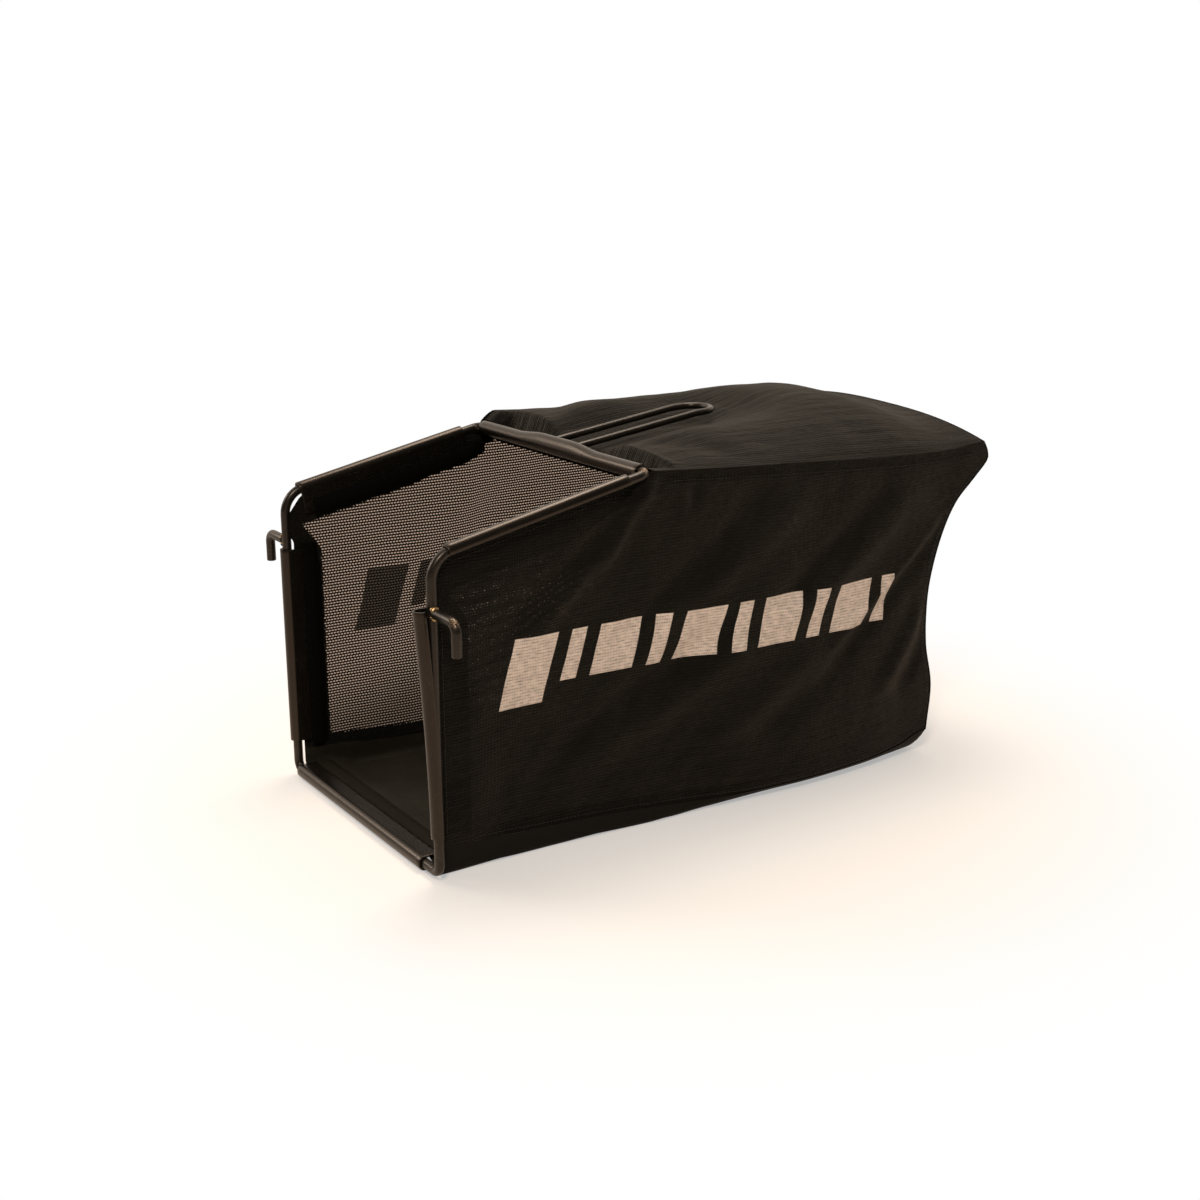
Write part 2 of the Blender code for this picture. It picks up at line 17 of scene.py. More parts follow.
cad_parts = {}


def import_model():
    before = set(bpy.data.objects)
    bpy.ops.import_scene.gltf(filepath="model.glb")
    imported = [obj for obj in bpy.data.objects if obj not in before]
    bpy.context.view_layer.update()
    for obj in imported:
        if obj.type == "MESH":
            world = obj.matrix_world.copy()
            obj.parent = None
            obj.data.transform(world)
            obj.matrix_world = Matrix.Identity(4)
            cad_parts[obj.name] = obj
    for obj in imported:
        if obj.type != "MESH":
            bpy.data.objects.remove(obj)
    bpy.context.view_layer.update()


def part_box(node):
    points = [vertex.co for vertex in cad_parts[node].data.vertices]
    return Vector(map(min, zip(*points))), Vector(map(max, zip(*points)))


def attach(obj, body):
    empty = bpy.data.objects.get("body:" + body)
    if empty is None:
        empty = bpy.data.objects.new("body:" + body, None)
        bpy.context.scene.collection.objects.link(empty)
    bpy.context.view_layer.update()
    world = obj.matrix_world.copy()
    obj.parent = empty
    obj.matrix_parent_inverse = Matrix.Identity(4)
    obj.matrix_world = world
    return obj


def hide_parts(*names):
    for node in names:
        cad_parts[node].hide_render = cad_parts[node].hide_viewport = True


MM = 0.001
BODY = "root"
LOG = logging.getLogger("grass_catcher")

Colour = tuple[float, float, float]
Curve = Sequence[tuple[float, float]]
Link = Union[float, bpy.types.NodeSocket]


class Side(Enum):
    """A side of the catcher, as seen by someone who looks into its mouth."""

    LEFT = -1
    RIGHT = 1

    @property
    def word(self) -> str:
        """The side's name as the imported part's nodes have it."""
        return self.name.lower()


def ramp(value: float, low: float, high: float) -> float:
    """Goes smoothly from 0 to 1.

    Args:
        value: The place to read.
        low: Where the ramp leaves 0.
        high: Where the ramp reaches 1.

    Returns:
        The ramp's value, from 0 to 1.
    """
    t = min(max((value - low) / (high - low), 0.0), 1.0)
    return t * t * (3 - 2 * t)


def smooth_value(points: Curve, at: float) -> float:
    """Reads a smooth curve through points, held level beyond its ends.

    Args:
        points: Pairs of place and value, in order of place.
        at: The place to read.

    Returns:
        The curve's value there.
    """
    if at <= points[0][0]:
        return points[0][1]
    if at >= points[-1][0]:
        return points[-1][1]
    index = max(i for i in range(len(points) - 1) if points[i][0] <= at)
    before = points[max(index - 1, 0)]
    start, end = points[index], points[index + 1]
    after = points[min(index + 2, len(points) - 1)]
    span = end[0] - start[0]
    slope_in = (end[1] - before[1]) / (end[0] - before[0])
    slope_out = (after[1] - start[1]) / (after[0] - start[0])
    t = (at - start[0]) / span
    return ((2 * t ** 3 - 3 * t ** 2 + 1) * start[1] + (t ** 3 - 2 * t ** 2 + t) * span * slope_in
            + (3 * t ** 2 - 2 * t ** 3) * end[1] + (t ** 3 - t ** 2) * span * slope_out)


def stations(start: float, pitch: float, count: int) -> list[float]:
    """Lists evenly spaced places from a start."""
    return [start + index * pitch for index in range(count)]


@dataclass(frozen=True)
class Layout:
    """The mouth's and the handle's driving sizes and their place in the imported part."""

    upright_y: float
    wire: float = 8 * MM
    half_width: float = 131 * MM
    axis_z: float = 6.1 * MM
    upright_height: float = 250 * MM
    slant_run: float = 193 * MM
    slant_rise: float = 40 * MM
    handle_reach: float = 162 * MM
    handle_level: float = 0.8
    handle_climb: float = 0.135
    handle_tip_climb: float = 0.25
    handle_root_lift: float = 2.3 * MM
    handle_wire: float = 6 * MM

    @classmethod
    def from_part(cls) -> "Layout":
        """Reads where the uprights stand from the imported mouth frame."""
        low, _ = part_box("mouth_frame")
        return cls(upright_y=low.y + cls.wire / 2)

    @property
    def top_front_z(self) -> float:
        """Height of the bends at the top of the uprights."""
        return self.axis_z + self.upright_height

    @property
    def cross_z(self) -> float:
        """Height of the cross bar."""
        return self.top_front_z + self.slant_rise

    @property
    def along_slant(self) -> Vector:
        """Direction of the slanted bars, from the front to the cross bar."""
        return Vector((0, self.slant_run, self.slant_rise)).normalized()

    @property
    def down_slant(self) -> Vector:
        """Direction down a side panel, square to the slanted bars."""
        return Vector((0, self.slant_rise, -self.slant_run)).normalized()

    def handle_z(self, run: float) -> float:
        """Height of the carry handle's centre line at a distance back from its root."""
        level = self.handle_reach * self.handle_level
        climb = min(run, level) + max(run - level, 0.0) * self.handle_tip_climb
        return self.cross_z + self.handle_root_lift + self.handle_climb * climb

    def slant_point(self, side: Side, back: float) -> Vector:
        """A point on a slanted bar's centre line.

        Args:
            side: Which bar.
            back: Distance back from the uprights.

        Returns:
            The point, laid out from the mouth.
        """
        height = self.top_front_z + self.slant_rise * back / self.slant_run
        return Vector((side.value * self.half_width, back, height))

    def place(self, piece: bpy.types.Object) -> None:
        """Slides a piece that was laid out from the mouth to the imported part's frame."""
        piece.data.transform(Matrix.Translation((0, self.upright_y, 0)))


# Materials


class NodeBoard:
    """A node tree to add nodes to, with short calls for the arithmetic between them."""

    def __init__(self, tree: bpy.types.NodeTree) -> None:
        """Starts on an empty tree.

        Args:
            tree: The material's or group's node tree.
        """
        self.tree = tree
        self.tree.nodes.clear()

    def add(self, kind: str, **settings: object) -> bpy.types.Node:
        """Adds a node.

        Args:
            kind: The node's type name.
            settings: The node's own settings by name.

        Returns:
            The new node.
        """
        node = self.tree.nodes.new(kind)
        for name, value in settings.items():
            setattr(node, name, value)
        node.location = (180 * (len(self.tree.nodes) % 9), -160 * (len(self.tree.nodes) // 9))
        return node

    def feed(self, target: bpy.types.NodeSocket, value: object) -> None:
        """Links a socket to a target, or sets the target to a plain value."""
        if isinstance(value, bpy.types.NodeSocket):
            self.tree.links.new(value, target)
        elif value is not None:
            target.default_value = value

    def give(self, node: bpy.types.Node, **values: object) -> None:
        """Feeds a node's inputs by name, with spaces written as underscores."""
        for label, value in values.items():
            self.feed(node.inputs[label.replace("_", " ")], value)

    def place(self) -> bpy.types.NodeSocket:
        """Adds the place on the object and gives it."""
        return self.add("ShaderNodeTexCoord").outputs["Object"]

    def layer(self, name: str) -> bpy.types.NodeSocket:
        """Adds a UV map by name and gives its place."""
        return self.add("ShaderNodeUVMap", uv_map=name).outputs["UV"]

    def painted(self, name: str) -> bpy.types.NodeSocket:
        """Adds an attribute of the points by name and gives its value."""
        return self.add("ShaderNodeAttribute", attribute_name=name).outputs["Fac"]

    def axes(self, place: Link) -> list[bpy.types.NodeSocket]:
        """Splits a place into x, y and z."""
        node = self.add("ShaderNodeSeparateXYZ")
        self.feed(node.inputs[0], place)
        return list(node.outputs)

    def times(self, first: Link, *others: Link) -> Link:
        """Multiplies values in the order given."""
        for other in others:
            first = self.math("MULTIPLY", first, other)
        return first

    def math(self, operation: str, a: Link, b: Optional[Link] = None,
             c: Optional[Link] = None) -> bpy.types.NodeSocket:
        """Adds a Math node and gives its output."""
        node = self.add("ShaderNodeMath", operation=operation)
        for socket, value in zip(node.inputs, (a, b, c)):
            self.feed(socket, value)
        return node.outputs[0]

    def step(self, value: Link, low: Link, high: Link, start: float = 0.0,
             end: float = 1.0) -> bpy.types.NodeSocket:
        """Adds a clamped Map Range from low..high to start..end and gives its output."""
        node = self.add("ShaderNodeMapRange", interpolation_type="SMOOTHSTEP")
        for name, item in (("Value", value), ("From Min", low), ("From Max", high), ("To Min", start),
                           ("To Max", end)):
            self.feed(node.inputs[name], item)
        return node.outputs["Result"]

    def mix(self, factor: Link, a: object, b: object) -> bpy.types.NodeSocket:
        """Adds a colour Mix node and gives its output."""
        node = self.add("ShaderNodeMix", data_type="RGBA")
        self.feed(node.inputs["Factor"], factor)
        self.feed(node.inputs[6], a)
        self.feed(node.inputs[7], b)
        return node.outputs[2]

    def noise(self, place: Link, scale: float, detail: float = 3.0,
              roughness: float = 0.55) -> bpy.types.NodeSocket:
        """Adds a Noise texture and gives its value."""
        node = self.add("ShaderNodeTexNoise")
        self.feed(node.inputs["Vector"], place)
        node.inputs["Scale"].default_value = scale
        node.inputs["Detail"].default_value = detail
        node.inputs["Roughness"].default_value = roughness
        return node.outputs["Fac"]

    def stretch(self, place: Link, scale: tuple[float, float, float]) -> bpy.types.NodeSocket:
        """Adds a Mapping node that only scales, and gives its vector."""
        node = self.add("ShaderNodeMapping")
        self.feed(node.inputs["Vector"], place)
        node.inputs["Scale"].default_value = scale
        return node.outputs["Vector"]

    def bump(self, height: Link, distance: float, strength: float = 1.0,
             under: Optional[bpy.types.NodeSocket] = None) -> bpy.types.NodeSocket:
        """Adds a Bump node and gives its normal."""
        node = self.add("ShaderNodeBump")
        node.inputs["Strength"].default_value = strength
        node.inputs["Distance"].default_value = distance
        self.feed(node.inputs["Height"], height)
        self.feed(node.inputs["Normal"], under)
        return node.outputs["Normal"]


def shade(colour: Colour, scale: float = 1.0) -> tuple[float, ...]:
    """Gives a colour, lighter or darker by a factor, as a socket takes it."""
    return (*(scale * part for part in colour), 1)


def new_group(name: str, inputs: Sequence[tuple[str, str, object]],
              outputs: Sequence[str]) -> tuple[NodeBoard, bpy.types.Node, bpy.types.Node]:
    """Starts a shader node group with named sockets.

    Args:
        name: The group's name.
        inputs: Name, socket type and default value of each input.
        outputs: Name of each output, all of them values.

    Returns:
        The group's board, its input node and its output node.
    """
    tree = bpy.data.node_groups.new(name, "ShaderNodeTree")
    for label, kind, value in inputs:
        socket = tree.interface.new_socket(name=label, in_out="INPUT", socket_type=kind)
        if value is not None:
            socket.default_value = value
    for label in outputs:
        tree.interface.new_socket(name=label, in_out="OUTPUT", socket_type="NodeSocketFloat")
    board = NodeBoard(tree)
    return board, board.add("NodeGroupInput"), board.add("NodeGroupOutput")


def knit_group() -> bpy.types.NodeTree:
    """Builds the open knit: rows of holes, each row shifted by half a hole.

    Returns:
        A group that gives the holes as Hole and the yarn's height as Yarn.
    """
    board, given, made = new_group(
        "Open knit",
        (("Place", "NodeSocketVector", None), ("Column", "NodeSocketFloat", 0.0029),
         ("Row", "NodeSocketFloat", 0.0025), ("Width", "NodeSocketFloat", 0.6),
         ("Height", "NodeSocketFloat", 0.6)),
        ("Hole", "Yarn"))
    x, y, _ = board.axes(given.outputs["Place"])
    rows = board.math("DIVIDE", y, given.outputs["Row"])
    odd = board.math("FLOORED_MODULO", board.math("FLOOR", rows), 2.0)
    up = board.math("FRACT", rows)
    columns = board.math("DIVIDE", x, given.outputs["Column"])
    swing, half_hole = 0.16, 0.5
    lean = board.math("MULTIPLY_ADD", board.math("MULTIPLY_ADD", odd, 2.0, -1.0), board.times(up, swing),
                      board.times(odd, half_hole))
    along = board.math("FRACT", board.math("ADD", columns, lean))
    wide = board.math("ABSOLUTE", board.math("MULTIPLY_ADD", along, 2.0, -1.0))
    high = board.math("ABSOLUTE", board.math("MULTIPLY_ADD", up, 2.0, -1.0))
    wide_share = board.math("DIVIDE", wide, given.outputs["Width"])
    high_share = board.math("DIVIDE", high, given.outputs["Height"])
    reach = board.math("SQRT", board.math("ADD", board.math("POWER", wide_share, 2.0),
                                          board.math("POWER", high_share, 2.0)))
    rim_in, rim_out = 0.86, 1.12
    board.feed(made.inputs["Hole"], board.step(reach, rim_in, rim_out, 1.0, 0.0))
    two_turns = 12.566
    strand = board.math("SINE", board.times(columns, two_turns))
    rib = board.math("POWER", high, 2.0)
    strand_share, rib_share, base = 0.20, 0.62, 0.12
    yarn = board.math("MULTIPLY_ADD", rib, rib_share, board.math("MULTIPLY_ADD", strand, strand_share, base))
    board.feed(made.inputs["Yarn"], yarn)
    return board.tree


def grime_group() -> bpy.types.NodeTree:
    """Builds the dust and scuffs of a used part.

    Returns:
        A group that gives broad patches as Dust and fine scratches as Scuff.
    """
    board, given, made = new_group(
        "Dust and scuffs",
        (("Place", "NodeSocketVector", None), ("Dust amount", "NodeSocketFloat", 0.3),
         ("Scuff amount", "NodeSocketFloat", 0.3)),
        ("Dust", "Scuff"))
    place = given.outputs["Place"]
    broad = board.noise(place, 22.0, 4.0, 0.6)
    fine = board.noise(place, 420.0, 2.0)
    board.feed(made.inputs["Dust"], board.times(
        board.step(broad, 0.42, 0.72), board.step(fine, 0.3, 0.7), given.outputs["Dust amount"]))
    lines = board.noise(board.stretch(place, (1.0, 0.16, 1.0)), 700.0, 2.0, 0.7)
    where = board.step(board.noise(place, 60.0, 2.0), 0.5, 0.62)
    board.feed(made.inputs["Scuff"], board.times(
        board.step(lines, 0.62, 0.72), where, given.outputs["Scuff amount"]))
    return board.tree


def bars_group() -> bpy.types.NodeTree:
    """Builds the plain printed band: leaning bars of two widths between two heights.

    Returns:
        A group that gives the print as Ink.
    """
    board, given, made = new_group(
        "Leaning bars",
        (("Place", "NodeSocketVector", None), ("Start", "NodeSocketFloat", 0.058),
         ("End", "NodeSocketFloat", 0.448), ("Low", "NodeSocketFloat", 0.124),
         ("High", "NodeSocketFloat", 0.180), ("Pitch", "NodeSocketFloat", 0.078),
         ("Lean", "NodeSocketFloat", 0.28)),
        ("Ink",))
    x, y, _ = board.axes(given.outputs["Place"])
    above = board.math("SUBTRACT", y, given.outputs["Low"])
    shift = board.times(above, given.outputs["Lean"])
    run = board.math("SUBTRACT", board.math("SUBTRACT", x, given.outputs["Start"]), shift)
    cycle = board.math("FRACT", board.math("DIVIDE", run, given.outputs["Pitch"]))
    edge, wide_to, thin_from, thin_to = 0.006, 0.50, 0.66, 0.84
    wide = board.times(board.step(cycle, 0.0, edge), board.step(cycle, wide_to, wide_to + edge, 1.0, 0.0))
    thin = board.times(board.step(cycle, thin_from, thin_from + edge),
                       board.step(cycle, thin_to, thin_to + edge, 1.0, 0.0))
    first_bar, cut_short = 0.046, 0.015
    past_first = board.math("GREATER_THAN", run, first_bar)
    tall = board.math("GREATER_THAN", above, board.times(past_first, cut_short))
    length = board.math("SUBTRACT", given.outputs["End"], given.outputs["Start"])
    inside = board.times(board.math("GREATER_THAN", run, 0.0), board.math("LESS_THAN", run, length))
    soft = 0.0006
    high = given.outputs["High"]
    high_edge = board.step(y, board.math("SUBTRACT", high, soft), high, 1.0, 0.0)
    band = board.times(board.step(above, 0.0, soft), high_edge)
    board.feed(made.inputs["Ink"], board.times(board.math("MAXIMUM", wide, thin), tall, inside, band))
    return board.tree


@dataclass(frozen=True)
class Finish:
    """What every finish has: its name, its record slot and a way to make its material."""

    name: str
    slot: str

    def start(self) -> tuple[bpy.types.Material, NodeBoard, bpy.types.Node]:
        """Makes an empty material with its Principled shader and output."""
        made = bpy.data.materials.new(self.name)
        made.use_nodes = True
        board = NodeBoard(made.node_tree)
        shader = board.add("ShaderNodeBsdfPrincipled")
        output = board.add("ShaderNodeOutputMaterial")
        board.feed(output.inputs["Surface"], shader.outputs[0])
        return made, board, shader

    def group(self, board: NodeBoard, name: str, **values: object) -> bpy.types.Node:
        """Places a shared group in a material.

        Args:
            board: The material's board.
            name: The group's name.
            values: Its inputs by name, with spaces written as underscores.

        Returns:
            The group's node.
        """
        node = board.add("ShaderNodeGroup", node_tree=bpy.data.node_groups[name])
        board.give(node, **values)
        return node


@dataclass(frozen=True)
class WirePaint(Finish):
    """Semi-gloss black paint on steel wire, bare where its attribute says so: worn paint in part, and in part
    a painted highlight on the bends.
    """

    colour: Colour = (0.0075, 0.0064, 0.0052)
    worn: Colour = (0.36, 0.245, 0.155)
    dust: Colour = (0.16, 0.13, 0.10)
    scuff: Colour = (0.09, 0.075, 0.06)
    tint: Colour = (1.0, 0.88, 0.76)
    roughness: float = 0.34

    def make(self) -> bpy.types.Material:
        """Builds the material."""
        made, board, shader = self.start()
        place = board.place()
        grime = self.group(board, "Dust and scuffs", Place=place, Dust_amount=0.10, Scuff_amount=0.7)
        broken = board.math("ADD", board.painted("wear"), board.times(board.noise(place, 900.0, 3.0), 0.9))
        bare = board.step(broken, 0.98, 1.14)
        dusty = board.mix(grime.outputs["Dust"], shade(self.colour), shade(self.dust))
        scuffed = board.mix(grime.outputs["Scuff"], dusty, shade(self.scuff))
        rough = board.math("MULTIPLY_ADD", board.noise(place, 260.0, 2.0), 0.16, self.roughness - 0.08)
        peel = board.bump(board.noise(place, 1500.0, 1.0), 0.00006, 0.5)
        board.give(shader, Base_Color=board.mix(bare, scuffed, shade(self.worn)), Metallic=bare,
                   Roughness=rough, Specular_IOR_Level=0.46, Specular_Tint=shade(self.tint), Normal=peel)
        return made


@dataclass(frozen=True)
class WeldSteel(Finish):
    """Lumpy weld metal with brassy heat tint and paint left in its hollows."""

    brown: Colour = (0.42, 0.24, 0.09)
    brass: Colour = (0.75, 0.55, 0.30)
    paint: Colour = (0.02, 0.017, 0.014)

    def make(self) -> bpy.types.Material:
        """Builds the material."""
        made, board, shader = self.start()
        place = board.place()
        metal = board.mix(board.noise(place, 500.0, 2.0), shade(self.brown), shade(self.brass))
        bare = board.step(board.noise(place, 260.0, 3.0), 0.44, 0.54)
        board.give(shader, Base_Color=board.mix(bare, shade(self.paint), metal), Metallic=bare,
                   Roughness=0.38, Normal=board.bump(board.noise(place, 800.0, 3.0), 0.0003))
        return made


@dataclass(frozen=True)
class ClipPlastic(Finish):
    """Satin black extruded plastic with faint draw lines, light scuffs and some dust."""

    colour: Colour = (0.0052, 0.0045, 0.0036)
    dust: Colour = (0.05, 0.042, 0.034)
    scuff: Colour = (0.08, 0.067, 0.054)
    tint: Colour = (1.0, 0.80, 0.64)
    roughness: float = 0.28

    def make(self) -> bpy.types.Material:
        """Builds the material."""
        made, board, shader = self.start()
        grime = self.group(board, "Dust and scuffs", Place=board.place(), Dust_amount=0.12, Scuff_amount=0.5)
        dusty = board.mix(grime.outputs["Dust"], shade(self.colour), shade(self.dust))
        lines = board.noise(board.stretch(board.layer("run"), (1400.0, 9.0, 1.0)), 1.0, 2.0)
        board.give(shader, Base_Color=board.mix(grime.outputs["Scuff"], dusty, shade(self.scuff)),
                   Roughness=board.math("MULTIPLY_ADD", lines, 0.20, self.roughness - 0.10),
                   Specular_IOR_Level=0.5, Specular_Tint=shade(self.tint),
                   Normal=board.bump(lines, 0.00005, 0.6))
        return made


@dataclass(frozen=True)
class KnitCloth(Finish):
    """Black knitted mesh that is open between its seams, with or without the printed band."""

    printed: bool = False
    yarn: Colour = (0.0052, 0.0048, 0.0036)
    ink: Colour = (0.72, 0.62, 0.56)
    dust: Colour = (0.06, 0.052, 0.042)
    sheen: Colour = (0.9, 0.80, 0.68)
    column: float = 2.9 * MM
    row: float = 2.5 * MM
    double: float = 11 * MM
    ragged: float = 7 * MM
    speckled_to: float = 0.334
    whole_from: float = 0.350

    def make(self) -> bpy.types.Material:
        """Builds the material."""
        made, board, shader = self.start()
        weave = board.layer("weave")
        knit = self.group(board, "Open knit", Place=weave, Column=self.column, Row=self.row, Width=0.76,
                          Height=0.46)
        grime = self.group(board, "Dust and scuffs", Place=board.place(), Dust_amount=0.10, Scuff_amount=0.0)
        single = self._single(board, weave)
        opened = board.times(knit.outputs["Hole"], self._see_through(board, weave, single))
        streak = board.step(board.noise(board.stretch(weave, (150.0, 800.0, 1.0)), 1.0, 2.0), 0.36, 0.68)
        height = board.times(knit.outputs["Yarn"], board.math("MULTIPLY_ADD", streak, 0.75, 0.45))
        # Painted highlight: the raised yarn is painted up to four times lighter than the yarn colour, more in
        # some slanted bands than in others.
        lit_rib = board.times(height, self._highlight_bands(board, weave), 0.85,
                              board.math("MULTIPLY_ADD", single, 0.85, 0.15))
        # Painted shade: the double hems along the seams are painted darker than the single cloth, and get
        # less of the painted highlight.
        ground = board.mix(single, shade(self.yarn, 0.55), shade(self.yarn))
        cloth = board.mix(lit_rib, ground, shade(self.yarn, 4.0))
        cloth = board.mix(grime.outputs["Dust"], cloth, shade(self.dust))
        if self.printed:
            ink = self._print(board, weave)
            cloth = self._inked(board, weave, ink, height, cloth)
            opened = board.times(opened, board.math("SUBTRACT", 1.0, board.times(ink, 0.86)))
        ripple = board.noise(board.stretch(weave, (16.0, 110.0, 1.0)), 1.0, 3.0)
        board.give(shader, Base_Color=cloth, Alpha=board.math("SUBTRACT", 1.0, opened), Roughness=0.72,
                   Specular_IOR_Level=0.07, Sheen_Weight=0.12, Sheen_Roughness=0.45,
                   Sheen_Tint=shade(self.sheen),
                   Normal=board.bump(height, 0.0007, 0.9, board.bump(ripple, 0.006, 0.55)))
        return made

    def _single(self, board: NodeBoard, weave: Link) -> bpy.types.NodeSocket:
        """1 where the cloth is one layer thick, and 0 in its double, ragged hems."""
        ragged = board.math("MULTIPLY_ADD", board.noise(weave, 520.0, 2.0), self.ragged,
                            self.double - self.ragged / 2)
        return board.step(board.painted("seam"), board.math("SUBTRACT", ragged, 0.0004), ragged)

    def _see_through(self, board: NodeBoard, weave: Link, single: Link) -> bpy.types.NodeSocket:
        """How far the holes let light through: in speckles only, where the cloth is nearly closed."""
        openness = board.painted("open")
        caught = board.step(board.noise(weave, 420.0, 2.0), 0.50, 0.62, 0.08, 1.0)
        whole = board.step(openness, self.speckled_to, self.whole_from)
        return board.times(single, board.math("MAXIMUM", caught, whole), openness)

    def _highlight_bands(self, board: NodeBoard, weave: Link) -> bpy.types.NodeSocket:
        """The slanted bands in which the painted highlight on the raised yarn is stronger and weaker."""
        x, y, _ = board.axes(weave)
        slanted = board.add("ShaderNodeCombineXYZ")
        along, across = 6.0, 34.0
        board.feed(slanted.inputs[0], board.times(board.math("ADD", x, y), along))
        board.feed(slanted.inputs[1], board.times(board.math("SUBTRACT", x, y), across))
        return board.step(board.noise(slanted.outputs[0], 1.0, 3.0), 0.36, 0.66, 0.22, 1.15)

    def _print(self, board: NodeBoard, weave: Link) -> bpy.types.NodeSocket:
        """The printed bars, worn off in places."""
        worn = board.step(board.noise(weave, 700.0, 3.0), 0.24, 0.34)
        return board.times(self.group(board, "Leaning bars", Place=weave).outputs["Ink"], worn)

    def _inked(self, board: NodeBoard, weave: Link, ink: Link, height: Link,
               cloth: Link) -> bpy.types.NodeSocket:
        """The cloth's colour with the print on its outside, thinner on the high yarn."""
        thin = board.step(height, 0.2, 0.75, 1.0, 0.42)
        back = board.add("ShaderNodeNewGeometry").outputs["Backfacing"]
        shown = board.times(ink, thin, board.math("SUBTRACT", 1.0, back))
        mottle = board.mix(board.step(board.noise(weave, 160.0, 4.0), 0.3, 0.7), shade(self.ink, 0.90),
                           shade(self.ink, 1.15))
        return board.mix(shown, cloth, mottle)


@dataclass(frozen=True)
class CoatedCloth(Finish):
    """Dull black cloth with a smooth coat, slightly crazed and dusty, darker on its outside."""

    colour: Colour = (0.0190, 0.0168, 0.0120)
    outer: Colour = (0.0098, 0.0086, 0.0064)
    dust: Colour = (0.075, 0.062, 0.05)
    scuff: Colour = (0.07, 0.06, 0.05)

    def make(self) -> bpy.types.Material:
        """Builds the material."""
        made, board, shader = self.start()
        weave = board.layer("weave")
        grime = self.group(board, "Dust and scuffs", Place=board.place(), Dust_amount=0.28, Scuff_amount=0.25)
        dusty = board.mix(grime.outputs["Dust"], shade(self.colour), shade(self.dust))
        inner = board.mix(grime.outputs["Scuff"], dusty, shade(self.scuff))
        inside = board.add("ShaderNodeNewGeometry").outputs["Backfacing"]
        cross = board.times(board.noise(board.stretch(weave, (1500, 90, 1)), 1.0, 1.0),
                            board.noise(board.stretch(weave, (90, 1500, 1)), 1.0, 1.0))
        board.give(shader, Base_Color=board.mix(inside, shade(self.outer), inner),
                   Roughness=board.math("MULTIPLY_ADD", cross, 0.3, 0.50), Specular_IOR_Level=0.08,
                   Normal=board.bump(cross, 0.0003, 0.6))
        return made


@dataclass(frozen=True)
class HemTape(Finish):
    """Soft black tape and overlocked edges with a fuzzy twill."""

    colour: Colour = (0.0020, 0.0018, 0.0014)

    def make(self) -> bpy.types.Material:
        """Builds the material."""
        made, board, shader = self.start()
        weave = board.layer("weave")
        x, y, _ = board.axes(weave)
        twill = board.math("SINE", board.times(board.math("ADD", x, y), 5200.0))
        fuzz = board.noise(weave, 2400.0, 2.0)
        height = board.math("MULTIPLY_ADD", twill, 0.3, fuzz)
        board.give(shader, Base_Color=board.mix(fuzz, shade(self.colour), shade(self.colour, 2.6)),
                   Roughness=0.9, Specular_IOR_Level=0.03, Normal=board.bump(height, 0.00035, 0.9))
        return made


@dataclass(frozen=True)
class SewingThread(Finish):
    """Polyester thread that has greyed a little."""

    colour: Colour = (0.0090, 0.0080, 0.0062)

    def make(self) -> bpy.types.Material:
        """Builds the material."""
        made, board, shader = self.start()
        place = board.place()
        tone = board.mix(board.noise(place, 300.0, 2.0), shade(self.colour, 0.45), shade(self.colour))
        board.give(shader, Base_Color=tone, Roughness=0.5,
                   Normal=board.bump(board.noise(place, 4000.0, 1.0), 0.0001))
        return made


class Finishes:
    """Every material of the catcher, made once."""

    def __init__(self) -> None:
        """Builds the shared groups and then the materials."""
        knit_group()
        grime_group()
        bars_group()
        self.paint = WirePaint("black_paint", "black_paint")
        self.weld = WeldSteel("weld_steel", "black_paint")
        self.plastic = ClipPlastic("black_plastic", "black_plastic")
        self.knit = KnitCloth("black_mesh", "black_mesh")
        self.printed_knit = KnitCloth("printed_mesh", "black_mesh", printed=True)
        self.coated = CoatedCloth("coated_fabric", "coated_fabric")
        self.tape = HemTape("hem_tape", "black_mesh")
        self.floor_tape = HemTape("floor_hem_tape", "black_mesh", colour=(0.0088, 0.0078, 0.0056))
        self.thread = SewingThread("sewing_thread", "black_mesh")
        every = (self.paint, self.weld, self.plastic, self.knit, self.printed_knit, self.coated, self.tape,
                 self.floor_tape, self.thread)
        self.materials = {finish.name: finish.make() for finish in every}

    def dress(self, piece: bpy.types.Object, finish: Finish) -> None:
        """Gives a piece its material."""
        piece.data.materials.clear()
        piece.data.materials.append(self.materials[finish.name])


# Modelling by hand


def put_tools_down() -> None:
    """Leaves edit mode and deselects everything."""
    if bpy.context.object and bpy.context.object.mode != "OBJECT":
        bpy.ops.object.mode_set(mode="OBJECT")
    bpy.ops.object.select_all(action="DESELECT")


def take(piece: bpy.types.Object) -> None:
    """Selects one piece alone and makes it the active one."""
    put_tools_down()
    piece.select_set(True)
    bpy.context.view_layer.objects.active = piece


def bake_place(piece: bpy.types.Object) -> None:
    """Puts a piece's place, turn and scale into its mesh."""
    take(piece)
    bpy.ops.object.transform_apply(location=True, rotation=True, scale=True)


def new_piece(name: str, mesh: bpy.types.Mesh) -> bpy.types.Object:
    """Puts a mesh into the scene as a piece."""
    piece = bpy.data.objects.new(name, mesh)
    bpy.context.scene.collection.objects.link(piece)
    return piece


def round_edges(piece: bpy.types.Object, width: float) -> None:
    """Rounds a piece's sharp edges with a bevel that is applied."""
    take(piece)
    bevel = piece.modifiers.new("rounded edges", "BEVEL")
    bevel.width = width
    bevel.segments = 2
    bevel.limit_method = "ANGLE"
    bevel.angle_limit = math.radians(38)
    bpy.ops.object.modifier_apply(modifier=bevel.name)


def smooth_off(piece: bpy.types.Object, angle: float = 35) -> None:
    """Shades a piece smooth, apart from edges sharper than an angle in degrees."""
    take(piece)
    bpy.ops.object.shade_smooth_by_angle(angle=math.radians(angle))


